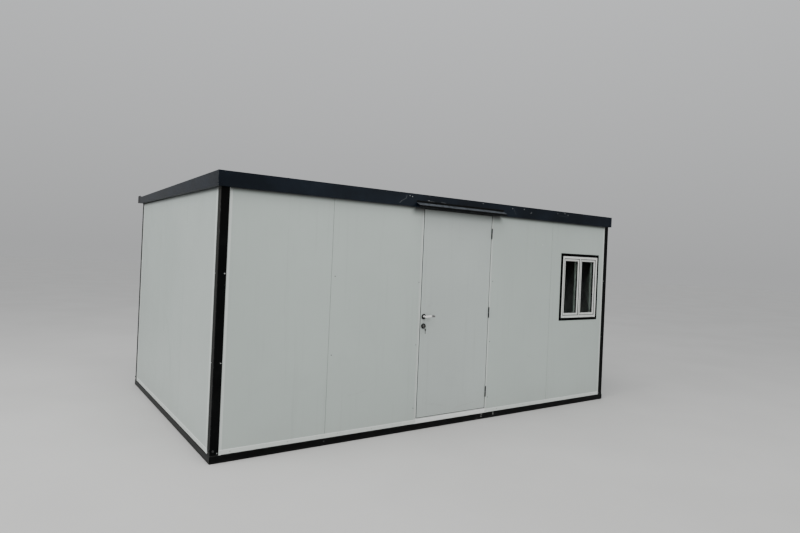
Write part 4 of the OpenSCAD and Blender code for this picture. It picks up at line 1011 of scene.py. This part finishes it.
def inner_trim():
    """Skirting along the walls, broken at the door, and the screws of the window handle."""
    skirting = Piece("skirting", "light_trim", "light_trim")
    x, y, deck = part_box("floor_deck")[1]
    corner, jamb = 0.06, 0.02
    outline = [(0, 0), (0, 0.009), (0.05, 0.009), (0.056, 0.004), (0.0578, 0)]
    for a, b, normal in (((corner - x, y), (x - corner, y), (0, -1, 0)),
                         ((-x, corner - y), (-x, y - corner), (1, 0, 0)),
                         ((x, y - corner), (x, corner - y), (-1, 0, 0)),
                         ((jamb_left[0][0] - jamb, -y), (corner - x, -y), (0, 1, 0)),
                         ((x - corner, -y), (jamb_right[1][0] + jamb, -y), (0, 1, 0))):
        start, end = [Vector((*place, deck + 0.0002)) for place in (a, b)]
        rise = math.copysign(1, Vector(normal).cross(end - start).z)
        skirting.sweep([start, end], normal, [(rise * u, v) for u, v in outline])
    screws = Piece("handle_screws", "zinc", "handle_white")
    low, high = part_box("sash_handle")
    middle, face = (low[0] + high[0]) / 2, low[1] + 0.009
    for drop in (0.058, 0.01):
        screws.at(pan_head(0.0032, 0.0012), (middle, face, high[2] - drop), "rear", 0.5)


for make in (track_screws, wall_rivets, post_bolts, weld_beads, joint_shade_strips, sealant_runs, foot_seal,
             door_gasket, hinge_trim, lock_trim, fascia_rivets, roof_fixings, gutter_straps, window_seals,
             window_lines, window_drains, casing_bead, inner_trim):
    make()
for piece in Piece.begun:
    piece.finish()


# Plain pale floor and soft studio light, not part of the object
def make_stage():
    radius, sides, level = 60, 96, -0.001
    turns = [math.tau * k / sides for k in range(sides)]
    ring = [(radius * math.cos(turn), radius * math.sin(turn), level) for turn in turns]
    mesh = bpy.data.meshes.new("floor")
    mesh.from_pydata(ring, [], [list(range(sides))])
    floor = bpy.data.objects.new("floor", mesh)
    scene.collection.objects.link(floor)
    p = Paint("floor")
    p.colour = p.mix(p.between(p.noise(0.7, 4), 0.3, 0.7), (0.50, 0.495, 0.485), (0.53, 0.525, 0.515))
    p.finish(0.85)
    mesh.materials.append(paints["floor"])


def make_light():
    world = bpy.data.worlds.new("studio")
    world.use_nodes = True
    tree = world.node_tree
    coords, way, dome = [tree.nodes.new(kind) for kind in (
        "ShaderNodeTexCoord", "ShaderNodeSeparateXYZ", "ShaderNodeValToRGB")]
    tree.links.new(coords.outputs["Generated"], way.inputs[0])
    tree.links.new(way.outputs[2], dome.inputs[0])
    tree.links.new(dome.outputs[0], tree.nodes["Background"].inputs[0])
    stops = dome.color_ramp.elements
    stops[0].color, stops[1].color = (0.44, 0.445, 0.45, 1), (1.0, 1.02, 1.04, 1)
    stops.new(0.35).color = (0.62, 0.63, 0.64, 1)
    scene.world = world
    aim = Vector((0, 0, 0.9))
    for name, place, size, power, colour in (
            ("soft_top", (-3.0, -2.8, 7.5), 7.0, 380, (1, 0.99, 0.97)),
            ("soft_front", (3.5, -9.0, 3.5), 6.0, 108, (1, 1, 0.99)),
            ("soft_left", (-8.0, -1.0, 6.5), 5.0, 270, (0.98, 0.99, 1))):
        data = bpy.data.lights.new(name, "AREA")
        data.shape, data.size, data.energy, data.color = "DISK", size, power, colour
        light = bpy.data.objects.new(name, data)
        light.location = place
        light.rotation_euler = (aim - Vector(place)).to_track_quat("-Z", "Y").to_euler()
        scene.collection.objects.link(light)


make_camera()
make_stage()
make_light()
